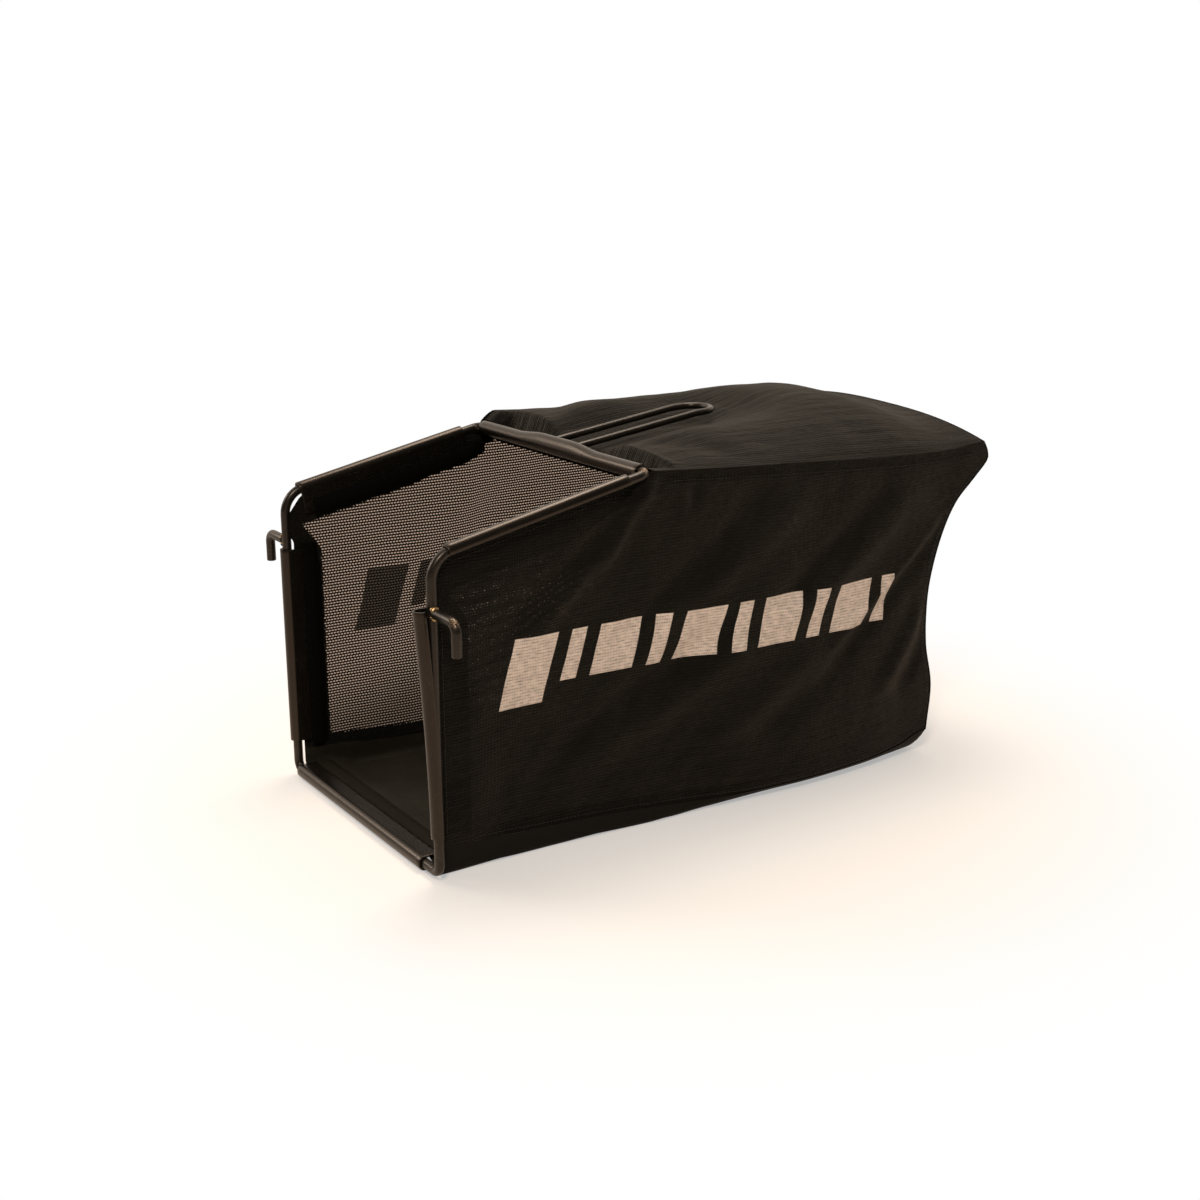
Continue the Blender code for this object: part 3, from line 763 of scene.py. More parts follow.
class WireBender:
    """Draws a round wire along a route of corners, as a wire is bent over pins."""

    degrees_per_step = 9
    straight_step = 24 * MM
    closing_gap = 2 * MM
    end_round = 0.8 * MM

    def __init__(self, name: str, diameter: float, sides: int) -> None:
        """Sets the tool up.

        Args:
            name: The piece's name.
            diameter: The wire's diameter.
            sides: Faces round the wire.
        """
        self.name = name
        self.diameter = diameter
        self.sides = sides

    def bend(self, corners: Sequence[Vector], radii: Sequence[float],
             closed: bool = False) -> bpy.types.Object:
        """Draws the wire.

        Args:
            corners: The route's corners. A closed route starts on a straight between two of them.
            radii: The bend's radius at each corner, 0 at an open route's ends.
            closed: True if the wire's ends meet.

        Returns:
            The wire, laid out from the mouth.
        """
        heading = (corners[1] - corners[0]).normalized()
        put_tools_down()
        bpy.ops.mesh.primitive_circle_add(
            vertices=self.sides, radius=self.diameter / 2, fill_type="NOTHING" if closed else "NGON",
            location=corners[0], rotation=heading.to_track_quat("Z", "Y").to_euler())
        piece = bpy.context.object
        piece.name = self.name
        bake_place(piece)
        bpy.ops.object.mode_set(mode="EDIT")
        bpy.ops.mesh.select_all(action="SELECT")
        here = corners[0].copy()
        for before, corner, after, radius in zip(corners, corners[1:], corners[2:], radii[1:]):
            to_next = (after - corner).normalized()
            heading = (corner - before).normalized()
            turn = heading.angle(to_next)
            back = radius * math.tan(turn / 2)
            self._straight(corner - heading * back - here)
            here = corner - heading * back
            towards = (to_next - heading * heading.dot(to_next)).normalized()
            centre = here + towards * radius
            steps = max(2, round(math.degrees(turn) / self.degrees_per_step))
            bpy.ops.mesh.spin(steps=steps, angle=-turn, center=centre, axis=heading.cross(towards))
            here = corner + to_next * back
        last = corners[-1] - here
        self._straight(last * (1 - self.closing_gap / last.length) if closed else last)
        if closed:
            bpy.ops.mesh.select_all(action="DESELECT")
            bpy.ops.mesh.select_non_manifold()
            bpy.ops.mesh.bridge_edge_loops()
        else:
            self._round_ends()
        bpy.ops.mesh.select_all(action="SELECT")
        bpy.ops.mesh.normals_make_consistent(inside=False)
        put_tools_down()
        smooth_off(piece, 50)
        return piece

    def _straight(self, run: Vector) -> None:
        """Draws the selected end of the wire along a straight."""
        steps = max(1, round(run.length / self.straight_step))
        for _ in range(steps):
            bpy.ops.mesh.extrude_region_move(TRANSFORM_OT_translate={"value": run / steps})

    def _round_ends(self) -> None:
        """Rounds the rims of both cut ends."""
        bpy.ops.object.mode_set(mode="OBJECT")
        for face in bpy.context.object.data.polygons:
            face.select = len(face.vertices) > 4
        bpy.ops.object.mode_set(mode="EDIT")
        bpy.ops.mesh.select_mode(type="FACE")
        bpy.ops.mesh.bevel(offset=self.end_round, segments=3, affect="EDGES")
        bpy.ops.mesh.select_mode(type="VERT")


def paint_wear_and_glint(piece: bpy.types.Object, spots: Sequence[tuple[Vector, float, float]]) -> None:
    """Writes where the paint is bare, as an attribute of the wire's points: worn paint in part, and in part a
    painted highlight on the bends.

    Args:
        piece: The wire, laid out from the mouth.
        spots: The middle, the reach and the strength of each bare place.
    """
    wear = piece.data.attributes.new("wear", "FLOAT", "POINT")
    for index, vertex in enumerate(piece.data.vertices):
        worn = 0.0
        for middle, reach, strength in spots:
            away = (vertex.co - middle).length / reach
            worn = max(worn, strength * (1 - ramp(away, 0.3, 1.0)))
        wear.data[index].value = worn


def weld_bead(name: str, at: Vector, size: Vector, seed: float) -> bpy.types.Object:
    """Makes a lumpy weld bead.

    Args:
        name: The piece's name.
        at: Its middle.
        size: Its half sizes along x, y and z.
        seed: Moves the lumps, so that no two beads look alike.

    Returns:
        The bead, laid out from the mouth.
    """
    put_tools_down()
    bpy.ops.mesh.primitive_uv_sphere_add(segments=20, ring_count=12, radius=1.0, location=at, scale=size)
    piece = bpy.context.object
    piece.name = name
    bake_place(piece)
    for vertex in piece.data.vertices:
        out = vertex.co - at
        lump = noise.noise(vertex.co * 420 + Vector((seed, 0, 0)))
        ripple = math.sin(vertex.co.z * 5200 + seed)
        vertex.co = at + out * (1 + 0.16 * lump + 0.03 * ripple)
    smooth_off(piece, 60)
    return piece


def finish_off(piece: bpy.types.Object, layout: Layout, finishes: Finishes, finish: Finish,
               *nodes: str) -> bpy.types.Object:
    """Places, dresses and hands over a finished piece.

    Args:
        piece: The piece, laid out from the mouth.
        layout: Where the mouth is.
        finishes: The materials.
        finish: The piece's finish.
        nodes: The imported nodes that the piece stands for.

    Returns:
        The piece.
    """
    put_tools_down()
    layout.place(piece)
    finishes.dress(piece, finish)
    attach(piece, BODY)
    if nodes:
        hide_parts(*nodes)
    piece.data.calc_loop_triangles()
    LOG.info("%s: %d triangles", piece.name, len(piece.data.loop_triangles))
    return piece


# Wire work


@dataclass
class WireWork:
    """The welded mouth: its loop, the two hooks, the carry handle and the inner hoop."""

    layout: Layout
    finishes: Finishes
    tight_bend: float = 8 * MM
    wide_bend: float = 22 * MM
    clip_top: float = 202 * MM
    hook_above_clip: float = 7 * MM
    hook_reach: float = 36 * MM
    hook_drop: float = 25 * MM
    hook_bend: float = 8 * MM
    handle_spread: float = 35 * MM
    weld_gap: float = 0.3 * MM

    def build(self) -> None:
        """Builds every wire and weld."""
        self._mouth()
        for side in Side:
            self._hook(side)
        self._handle()
        hoop = bpy.data.objects["support_hoop"]
        self.finishes.dress(hoop, self.finishes.paint)

    def _mouth(self) -> None:
        """Bends the closed loop, from the middle of the bottom wire."""
        lay = self.layout
        half, low, high, cross = lay.half_width, lay.axis_z, lay.top_front_z, lay.cross_z
        start = Vector((0, 0, low))
        corners = [start, Vector((half, 0, low)), Vector((half, 0, high)),
                   Vector((half, lay.slant_run, cross)), Vector((-half, lay.slant_run, cross)),
                   Vector((-half, 0, high)), Vector((-half, 0, low)), start]
        tight, wide = self.tight_bend, self.wide_bend
        radii = [0, tight, wide, tight, tight, wide, tight, 0]
        piece = WireBender("mouth_wire", lay.wire, 24).bend(corners, radii, closed=True)
        rear_bend = self.tight_bend * (1 - math.sqrt(0.5))
        spots = []
        # The bare spots at the rear corners are partly worn paint and partly a painted highlight on the
        # bends.
        for side in Side:
            x = side.value * half
            spots.append((Vector((x - side.value * rear_bend, lay.slant_run - rear_bend, cross + 2 * MM)),
                          12 * MM, 0.58 if side is Side.RIGHT else 0.42))
            spots.append((Vector((x, 2 * MM, low)), 12 * MM, 0.35))
            spots.append((Vector((x, 6 * MM, high - 4 * MM)), 20 * MM, 0.34))
            spots.append((Vector((x, 0, self._hook_height())), 11 * MM, 0.5))
        paint_wear_and_glint(piece, spots)
        finish_off(piece, lay, self.finishes, self.finishes.paint, "mouth_frame")

    def _hook_height(self) -> float:
        """Height of the hooks' level part."""
        return self.layout.axis_z + self.clip_top + self.hook_above_clip

    def _hook(self, side: Side) -> None:
        """Bends one hook and lays its weld."""
        lay = self.layout
        way = side.value
        root = way * (lay.half_width + lay.wire / 2 + self.weld_gap)
        tip = way * (lay.half_width + self.hook_reach)
        height = self._hook_height()
        corners = [Vector((root, 0, height)), Vector((tip, 0, height)),
                   Vector((tip, 0, height - self.hook_drop))]
        piece = WireBender(f"hook_wire_{side.word}", lay.wire, 24).bend(corners, [0, self.hook_bend, 0])
        # The bare spot on the hook's bend is a painted highlight where the bend catches the light; the root
        # and tip spots are worn paint.
        bend_top = Vector((tip - way * 2 * MM, 0, height))
        paint_wear_and_glint(piece, [(corners[0], 7 * MM, 0.6), (bend_top, 11 * MM, 0.55), (corners[2], 5 * MM, 0.5)])
        finish_off(piece, lay, self.finishes, self.finishes.paint, f"hook_{side.word}")
        for name, lift, seed in (("above", 3.4 * MM, 1.0), ("below", -3.4 * MM, 5.0)):
            at = Vector((root + way * 0.2 * MM, -0.4 * MM, height + lift))
            bead = weld_bead(f"hook_weld_{side.word}_{name}", at, Vector((2.6, 3.6, 2.2)) * MM, seed * way)
            finish_off(bead, lay, self.finishes, self.finishes.weld)

    def _handle(self) -> None:
        """Bends the carry handle and lays the welds on its two roots."""
        lay = self.layout
        root_y = lay.slant_run + lay.wire / 2 + self.weld_gap
        root_z = lay.handle_z(0.0)
        level = lay.handle_reach * lay.handle_level
        tip_y = lay.slant_run + lay.handle_reach - lay.handle_wire / 2
        radius = self.handle_spread / 2

        def rail(y: float) -> float:
            """Height of the handle's centre line at a distance back from the uprights."""
            return lay.handle_z(y - root_y)

        left = [Vector((-radius, y, rail(y))) for y in (root_y, root_y + level, tip_y)]
        right = [Vector((-point.x, point.y, point.z)) for point in reversed(left)]
        slope_bend, tip_bend = 30 * MM, radius - 0.05 * MM
        radii = [0, slope_bend, tip_bend, tip_bend, slope_bend, 0]
        piece = WireBender("handle_wire", lay.handle_wire, 20).bend(left + right, radii)
        tip = Vector((0, tip_y, rail(tip_y)))
        paint_wear_and_glint(piece, [(tip, 22 * MM, 0.38), (left[0], 9 * MM, 0.4), (right[-1], 9 * MM, 0.4)])
        finish_off(piece, lay, self.finishes, self.finishes.paint, "carry_handle")
        for side in Side:
            at = Vector((side.value * (radius + 2.8 * MM), root_y - 0.2 * MM, root_z - 0.6 * MM))
            bead = weld_bead(f"handle_weld_{side.word}", at, Vector((1.5, 2.2, 2.2)) * MM, 3.0 + side.value)
            finish_off(bead, lay, self.finishes, self.finishes.weld)


# Clips


@dataclass(frozen=True)
class ClipSeat:
    """Where a clip sits: its two ends on the wire and which way its closed side and its tail's side face."""

    name: str
    start: Vector
    end: Vector
    front: Vector
    inner: Vector


@dataclass
class ClipSet:
    """The pull-on clips: channels that grip the wire, each with a flat tail for the cloth."""

    layout: Layout
    finishes: Finishes
    wall: float = 1.7 * MM
    play: float = 0.4 * MM
    tail: float = 21 * MM
    lip_angle: float = 15
    bottom_from: float = -122 * MM
    bottom_to: float = 108 * MM
    upright_from: float = 27 * MM
    upright_length: float = 175 * MM
    slant_from: float = 13 * MM
    slant_length: float = 164 * MM
    cross_length: float = 244 * MM
    cross_tilt: float = 24
    cross_bulge: float = 3.2 * MM
    popped_from: float = 30 * MM
    popped_length: float = 182 * MM
    popped_reach: float = 9.5 * MM

    @property
    def inner_radius(self) -> float:
        """Radius of the channel's inside."""
        return self.layout.wire / 2 + self.play

    @property
    def outer_radius(self) -> float:
        """Radius of the channel's outside."""
        return self.inner_radius + self.wall

    @property
    def cross_front(self) -> Vector:
        """The way that the cross clip's closed side faces."""
        tilt = math.radians(self.cross_tilt)
        return Vector((0, -math.cos(tilt), math.sin(tilt)))

    @property
    def cross_inner(self) -> Vector:
        """The way that the cross clip's tail faces the cloth."""
        tilt = math.radians(self.cross_tilt)
        return Vector((0, -math.sin(tilt), -math.cos(tilt)))

    def popped_shift(self, height: float) -> float:
        """How far the right clip stands forward of its seat at a height above the bottom wire."""
        share = min(max((height - self.popped_from) / self.popped_length, 0.0), 1.0)
        return self.popped_reach * share ** 1.7

    def seats(self) -> list[ClipSeat]:
        """Lists where each clip sits."""
        lay = self.layout
        forward, up = Vector((0, -1, 0)), Vector((0, 0, 1))
        low = lay.axis_z + self.upright_from
        along = lay.along_slant
        seats = [
            ClipSeat("clip_bottom", Vector((self.bottom_from, 0, lay.axis_z)),
                     Vector((self.bottom_to, 0, lay.axis_z)), forward, up),
            ClipSeat("clip_upright_left", Vector((-lay.half_width, 0, low)),
                     Vector((-lay.half_width, 0, low + self.upright_length)), forward, Vector((1, 0, 0))),
            ClipSeat("clip_upright_right", Vector((lay.half_width, 0, lay.axis_z + self.popped_from)),
                     Vector((lay.half_width, 0, lay.axis_z + self.popped_from + self.popped_length)),
                     forward, Vector((-1, 0, 0))),
            ClipSeat("clip_cross", Vector((-self.cross_length / 2, lay.slant_run, lay.cross_z)),
                     Vector((self.cross_length / 2, lay.slant_run, lay.cross_z)),
                     self.cross_front, self.cross_inner),
        ]
        for side in Side:
            start = lay.slant_point(side, self.slant_from)
            seats.append(ClipSeat(f"clip_slant_{side.word}", start, start + along * self.slant_length,
                                  Vector((0, -along.z, along.y)), Vector((-side.value, 0, 0))))
        return seats

    def build(self) -> None:
        """Builds every clip."""
        for seat in self.seats():
            piece = self._extrude(seat)
            if seat.name == "clip_upright_right":
                self._pop_off(piece)
            if seat.name == "clip_cross":
                self._lift_lip(piece)
            round_edges(piece, 0.35 * MM)
            smooth_off(piece)
            finish_off(piece, self.layout, self.finishes, self.finishes.plastic, seat.name)

    def _extrude(self, seat: ClipSeat) -> bpy.types.Object:
        """Draws a clip's section flat, extrudes it and turns it onto its wire.

        Args:
            seat: Where the clip sits.

        Returns:
            The clip, laid out from the mouth, with its run along the extrusion in the UV map.
        """
        put_tools_down()
        middle = (self.inner_radius + self.outer_radius) / 2
        bpy.ops.mesh.primitive_plane_add(size=1.0, location=(-self.tail / 2, middle, 0))
        piece = bpy.context.object
        piece.name = f"{seat.name}_shell"
        piece.scale = (self.tail, self.wall, 1)
        bake_place(piece)
        bpy.ops.object.mode_set(mode="EDIT")
        bpy.ops.mesh.select_mode(type="EDGE")
        bpy.ops.mesh.select_all(action="DESELECT")
        bpy.ops.object.mode_set(mode="OBJECT")
        mesh = piece.data
        for edge in mesh.edges:
            edge.select = all(abs(mesh.vertices[i].co.x) < 1e-6 for i in edge.vertices)
        bpy.ops.object.mode_set(mode="EDIT")
        sweep = math.radians(180 + self.lip_angle)
        bpy.ops.mesh.spin(steps=26, angle=sweep, center=(0, 0, 0), axis=(0, 0, 1))
        bpy.ops.mesh.select_all(action="SELECT")
        length = (seat.end - seat.start).length
        steps = 44
        for _ in range(steps):
            bpy.ops.mesh.extrude_region_move(TRANSFORM_OT_translate={"value": (0, 0, length / steps)})
        bpy.ops.mesh.select_all(action="SELECT")
        bpy.ops.mesh.normals_make_consistent(inside=False)
        put_tools_down()
        self._write_run(piece)
        run = seat.front.cross(seat.inner)
        start = seat.start if run.dot(seat.end - seat.start) > 0 else seat.end
        turn = Matrix((seat.front, seat.inner, run)).transposed().to_4x4()
        piece.matrix_world = Matrix.Translation(start) @ turn
        bake_place(piece)
        return piece

    def _write_run(self, piece: bpy.types.Object) -> None:
        """Writes each point's place round and along the extrusion as a UV map."""
        mesh = piece.data
        while mesh.uv_layers:
            mesh.uv_layers.remove(mesh.uv_layers[0])
        layer = mesh.uv_layers.new(name="run")
        for loop in mesh.loops:
            point = mesh.vertices[loop.vertex_index].co
            girth = point.x if point.x < -1e-4 else math.atan2(point.x, point.y) * self.outer_radius
            layer.data[loop.index].uv = (girth, point.z)

    def _pop_off(self, piece: bpy.types.Object) -> None:
        """Bends the right clip forward, off its wire, towards its top end."""
        for vertex in piece.data.vertices:
            vertex.co.y -= self.popped_shift(vertex.co.z - self.layout.axis_z)

    def _lift_lip(self, piece: bpy.types.Object) -> None:
        """Opens the cross clip's lip where it rides over the handle's two welded legs."""
        lay = self.layout
        leg, clear, fade = 17.5 * MM, 4 * MM, 21 * MM
        lip_way, front = -self.cross_inner, self.cross_front
        for vertex in piece.data.vertices:
            out = vertex.co - Vector((vertex.co.x, lay.slant_run, lay.cross_z))
            side = out.dot(lip_way)
            near = 1 - ramp(abs(vertex.co.x), leg + clear, leg + clear + 2 * fade)
            rise = self.cross_bulge * near * ramp(side, -self.inner_radius, self.outer_radius)
            under = ramp(-out.dot(front), -1 * MM, 2 * MM) * near * ramp(side, 0, 3 * MM)
            vertex.co.z += rise
            vertex.co += front * (under * 2.2 * MM)


# Bag


@dataclass(frozen=True)
class Crease:
    """A fold in a panel, from one place to another, as a distance back and a height."""

    start: tuple[float, float]
    end: tuple[float, float]
    height: float
    width: float
    sharp: bool = False

    def lift(self, back: float, up: float) -> float:
        """How far the fold lifts the cloth at a place.

        Args:
            back: Distance back from the uprights.
            up: Height above the ground, or the distance from the middle on the top panel.

        Returns:
            The lift along the panel's outward side.
        """
        ay, az = self.start
        by, bz = self.end
        run = math.hypot(by - ay, bz - az)
        dy, dz = (by - ay) / run, (bz - az) / run
        along = (back - ay) * dy + (up - az) * dz
        across = (back - ay) * dz - (up - az) * dy
        fade = ramp(along, -0.18 * run, 0.25 * run) * (1 - ramp(along, 0.75 * run, 1.18 * run))
        if fade == 0:
            return 0.0
        if self.sharp:
            return self.height * fade * math.exp(-abs(across) / self.width)
        return self.height * fade * math.exp(-(across / self.width) ** 2)


def crease_mm(start: tuple[float, float], end: tuple[float, float], height: float, width: float,
              sharp: bool = False) -> Crease:
    """Makes a crease from sizes in millimetres."""
    return Crease((start[0] * MM, start[1] * MM), (end[0] * MM, end[1] * MM), height * MM, width * MM, sharp)


RIGHT_CREASES = (
    crease_mm((368, 118), (522, 226), 3.8, 7, True),
    crease_mm((378, 108), (520, 208), -4.7, 9),
    crease_mm((94, 186), (196, 290), 8.8, 9),
    crease_mm((70, 190), (176, 286), -4.7, 12),
    crease_mm((128, 60), (300, 146), 5.8, 14),
    crease_mm((120, 84), (262, 156), -5.8, 12),
    crease_mm((335, 158), (480, 246), 5.8, 14),
    crease_mm((315, 166), (440, 250), -4.3, 11),
    crease_mm((225, 186), (350, 254), 5.5, 14),
    crease_mm((180, 172), (310, 268), -5.8, 13),
    crease_mm((436, 74), (506, 154), 5.5, 11),
    crease_mm((462, 66), (512, 120), -3.5, 9),
    crease_mm((255, 58), (356, 124), 5.1, 12),
    crease_mm((300, 60), (400, 112), -3.9, 12),
    crease_mm((207, 264), (215, 298), -5.0, 5),
    crease_mm((226, 266), (227, 297), 5.5, 4.5),
    crease_mm((239, 265), (237, 297), -4.5, 5),
)
# Folds that hang from the rear end of the right slanted clip, where its tail no longer holds the cloth.
CORNER_FOLDS = (
    crease_mm((150, 226), (198, 296), 6.5, 8),
    crease_mm((104, 212), (150, 254), -2.5, 7),
)
LEFT_CREASES = (
    crease_mm((90, 90), (250, 190), 3.8, 16),
    crease_mm((60, 140), (200, 250), -3.5, 16),
    crease_mm((210, 80), (380, 190), 4.1, 17),
    crease_mm((180, 200), (330, 280), 3.5, 15),
    crease_mm((300, 60), (470, 170), -3.8, 16),
    crease_mm((380, 120), (520, 230), 3.8, 11),
    crease_mm((420, 60), (505, 130), 3.2, 13),
    crease_mm((250, 120), (420, 240), -3.2, 15),
)
TOP_CREASES = (
    crease_mm((208, 30), (222, 124), 2.9, 7),
    crease_mm((228, 60), (300, 122), -2.3, 13),
    crease_mm((226, -52), (272, -124), -2.6, 12),
    crease_mm((380, -40), (520, 50), 1.2, 30),
)


@dataclass
class BagForm:
    """The bag's outer shape, with its folds, as places on each of its panels."""

    layout: Layout
    clips: ClipSet
    reach: float = 571 * MM
    bottom_seam: float = 20 * MM
    bottom_corner: float = 19 * MM
    bottom_hem_corner: float = 3 * MM
    flare: float = 5 * MM
    hem_shift: dict[Side, float] = field(default_factory=lambda: {Side.LEFT: 7 * MM, Side.RIGHT: -1.5 * MM})
    edge_lift: float = 1 * MM
    rear_round: float = 16 * MM
    hem: float = 29 * MM
    hem_fade: float = 40 * MM
    corner_cut: float = 14 * MM
    left_lift: float = 12 * MM
    left_lift_run: float = 20 * MM
    dome: float = 25 * MM
    crown: float = 11 * MM
    rear_dome: float = 13 * MM
    valley: float = 20 * MM
    rear_sag: float = 7 * MM
    belly: float = 5 * MM
    rear_tautness: float = 0.8
    floor_drop_run: float = 34 * MM
    cloth: float = 1.2 * MM
    seam_gap: float = 0.4 * MM
    handle_clear: float = 3.4 * MM
    tables: dict[str, Curve] = field(init=False)

    def __post_init__(self) -> None:
        """Works out what follows from the driving sizes."""
        lay = self.layout
        self.front_x = lay.half_width - self.clips.inner_radius + self.seam_gap + self.cloth
        self.front_y = lay.wire / 2 + 1 * MM
        self.seam_y = lay.slant_run + lay.wire / 2 + 12 * MM
        self.turn_z = lay.axis_z + self.clips.upright_from - 1 * MM
        self.tables = {
            "low": ((0.005, 0.121), (0.062, 0.122), (0.118, 0.123), (0.175, 0.127), (0.232, 0.134),
                    (0.288, 0.144), (0.348, 0.151), (0.421, 0.150), (0.477, 0.144), (self.reach, 0.134)),
            "high": ((lay.slant_run + 0.005, lay.half_width + 0.001), (0.330, lay.half_width + 0.002),
                     (0.465, lay.half_width + 0.003), (self.reach, lay.half_width)),
            "seam": ((lay.slant_run, 0.0024), (0.209, 0.001), (0.265, -0.003), (0.328, -0.007),
                     (0.394, -0.011), (0.465, -0.015), (self.reach - 0.044, -0.016), (self.reach, -0.013)),
            "bottom": ((0.0, 0.024), (0.088, 0.019), (0.188, 0.015), (0.251, 0.010), (0.312, 0.008),
                       (0.430, 0.009), (0.470, 0.0125), (0.485, 0.017), (0.497, 0.020), (self.reach, 0.020)),
            "rear": ((0.0, 0.066), (0.026, 0.063), (0.064, 0.060), (0.105, 0.070), (0.143, 0.071),
                     (0.170, 0.066), (0.205, 0.052), (0.232, 0.034), (0.250, 0.012), (0.265, -0.005),
                     (0.274, -0.005), (0.283, 0.0)),
        }

    def seam_height(self, y: float, way: float) -> float:
        """Height of a top side seam; the left one is held a little higher than the right one."""
        from_bar = y - self.layout.slant_run
        lift = self.left_lift * ramp(from_bar, -2 * MM, self.left_lift_run) if way < 0 else 0.0
        return self.layout.cross_z + smooth_value(self.tables["seam"], y) + lift

    def top_half(self, y: float) -> float:
        """Half the bag's width along its top edges, narrower where the slanted bars' clips hold it."""
        behind = smooth_value(self.tables["high"], y)
        held_to = self.clips.slant_from + self.clips.slant_length
        return self.front_x + (behind - self.front_x) * ramp(y, held_to, self.layout.slant_run + 5 * MM)

    def handle_height(self, y: float) -> float:
        """Height of the carry handle's centre line."""
        return self.layout.handle_z(y - (self.layout.slant_run + self.layout.wire / 2))

    def top_height(self, x: float, y: float) -> float:
        """Height of the top, domed between its seams and pressed down by the handle."""
        share = min(max(x / self.top_half(y), -1.0), 1.0)
        edge = (self.seam_height(y, -1) * (1 - share) + self.seam_height(y, 1) * (1 + share)) / 2
        run = self.layout.slant_run
        dome = self.dome * ramp(y, run - 20 * MM, run + 110 * MM)
        dome += self.crown * ramp(y, run + 110 * MM, run + 260 * MM)
        dome += (self.rear_dome - self.dome - self.crown) * ramp(y, self.reach - 105 * MM, self.reach)
        valley = self.valley * ramp(y, run, run + 80 * MM)
        valley *= 1 - ramp(y, run + 132 * MM, run + 252 * MM)
        folds = sum(crease.lift(y, x) for crease in TOP_CREASES)
        folds *= ramp(1 - abs(share), 0.0, 0.10) * ramp(self.reach - y, 0.0, 30 * MM)
        height = edge + dome * (1 - abs(share) ** 2.6) - valley * math.exp(-(x / 0.042) ** 2) + folds
        under_handle = self.handle_height(y) - self.layout.handle_wire / 2 - self.handle_clear
        near = 1 - ramp(abs(x), 23.5 * MM, 67.5 * MM)
        handle_end = run + self.layout.handle_reach
        near *= 1 - ramp(y, handle_end, handle_end + 60 * MM)
        return height + (min(height, under_handle) - height) * near

    def hem_hold(self, y: float, z: float) -> float:
        """1 where a side is sewn flat to a clip's tail, falling to 0 a little way into the bag."""
        lay = self.layout
        lean = lay.slant_run / math.hypot(lay.slant_run, lay.slant_rise)
        under_bar = (lay.slant_point(Side.RIGHT, y).z - z) * lean
        from_bar = under_bar + 0.5 * max(y - lay.slant_run, 0.0)
        return 1 - ramp(min(y, from_bar), self.hem + 5 * MM, self.hem + self.hem_fade)

    def side_top(self, y: float, way: float) -> float:
        """Height of a side panel's top edge: under the slanted bar first, then along the top seam."""
        lay = self.layout
        under_bar = lay.slant_point(Side.RIGHT, y).z - lay.wire / 2 - 1.5 * MM
        under_bar -= self.corner_cut * (1 - ramp(y, lay.wire / 2, 22 * MM))
        under_bar += 5 * MM * ramp(y, 171 * MM, 178 * MM)
        under_seam = self.seam_height(y, way) + 0.3 * MM
        return under_bar + (under_seam - under_bar) * ramp(y, lay.slant_run + 1 * MM, lay.slant_run + 7 * MM)

    def side_x(self, y: float, z: float, side: Side) -> float:
        """Half the bag's width on a side panel, with its folds."""
        way = side.value
        low = smooth_value(self.tables["low"], y)
        low += self.hem_shift[side] * (1 - ramp(y, self.hem, self.hem + 100 * MM))
        if side is Side.RIGHT:
            low += self.flare * (1 - ramp(z, 0, 70 * MM)) * (1 - ramp(y, 190 * MM, 260 * MM))
        high = self.top_half(y)
        top = self.side_top(y, 1)
        share = min(max((z - self.bottom_seam) / (top - self.bottom_seam), 0.0), 1.0)
        belly = self.belly * math.sin(math.pi * share) * ramp(y, 80 * MM, 300 * MM)
        belly *= 1 - self.rear_tautness * ramp(y, 440 * MM, 540 * MM)
        creases = RIGHT_CREASES if side is Side.RIGHT else LEFT_CREASES
        folds = sum(crease.lift(y, z) for crease in creases)
        near_edge = ramp(z - self.bottom_seam, 0, 26 * MM) * ramp(top - z, 0, 9 * MM)
        near_edge *= ramp(self.rear_edge(z) - y, 0, 22 * MM)
        place = Vector((y * 26, z * 26, 3.0 * way))
        crumple = 1.0 * MM * noise.noise(place) + 0.45 * MM * noise.noise(place * 2.7)
        free = low + (high - low) * share + belly + (folds + crumple) * near_edge
        held = low + (high - low) * ramp(z, self.bottom_seam, self.turn_z)
        corner = self.corner(y)
        under = min(max(1 - (z - self.edge_height(y, side)) / corner, 0.0), 1.0)
        tuck = corner * (1 - math.sqrt(1 - under * under))
        return free + (held - free) * self.hem_hold(y, z) + self.corner_fold(y, z, side) - tuck

    def corner_fold(self, y: float, z: float, side: Side) -> float:
        """How far the folds at the rear end of the right slanted clip lift the cloth."""
        if side is Side.LEFT:
            return 0.0
        return sum(crease.lift(y, z) for crease in CORNER_FOLDS) * ramp(self.side_top(y, 1) - z, 0, 9 * MM)

    def corner(self, y: float) -> float:
        """Radius of the bend between the floor and a side."""
        return self.bottom_hem_corner + (self.bottom_corner - self.bottom_hem_corner) * ramp(y, 0.200, 0.340)

    def side_bottom(self, y: float) -> float:
        """Height of the seam between the floor and a side."""
        return smooth_value(self.tables["bottom"], y)

    def edge_height(self, y: float, side: Side) -> float:
        """Height of the floor's underside along an edge, a little off the ground towards the rear."""
        lift = self.edge_lift * ramp(y, 240 * MM, 330 * MM)
        return lift + (self.floor_lift(y) if side is Side.LEFT else 0.0)

    def rear_edge(self, z: float) -> float:
        """How far back the bag's rear edge stands at a height."""
        return self.reach - smooth_value(self.tables["rear"], z)

    def floor_lift(self, y: float) -> float:
        """Height of the floor's underside along its middle: up on the clip's tail, then down."""
        hem_height = self.layout.axis_z + self.clips.inner_radius - self.seam_gap - self.cloth
        level_to = self.clips.tail + 2 * MM
        return hem_height * (1 - ramp(y, level_to, level_to + self.floor_drop_run))


@dataclass(frozen=True)
class ClothPoint:
    """A point of a cloth panel: its place, its place in the weave, its seam's distance and its openness."""

    place: Vector
    weave: tuple[float, float]
    seam: float
    open: float = 0.0


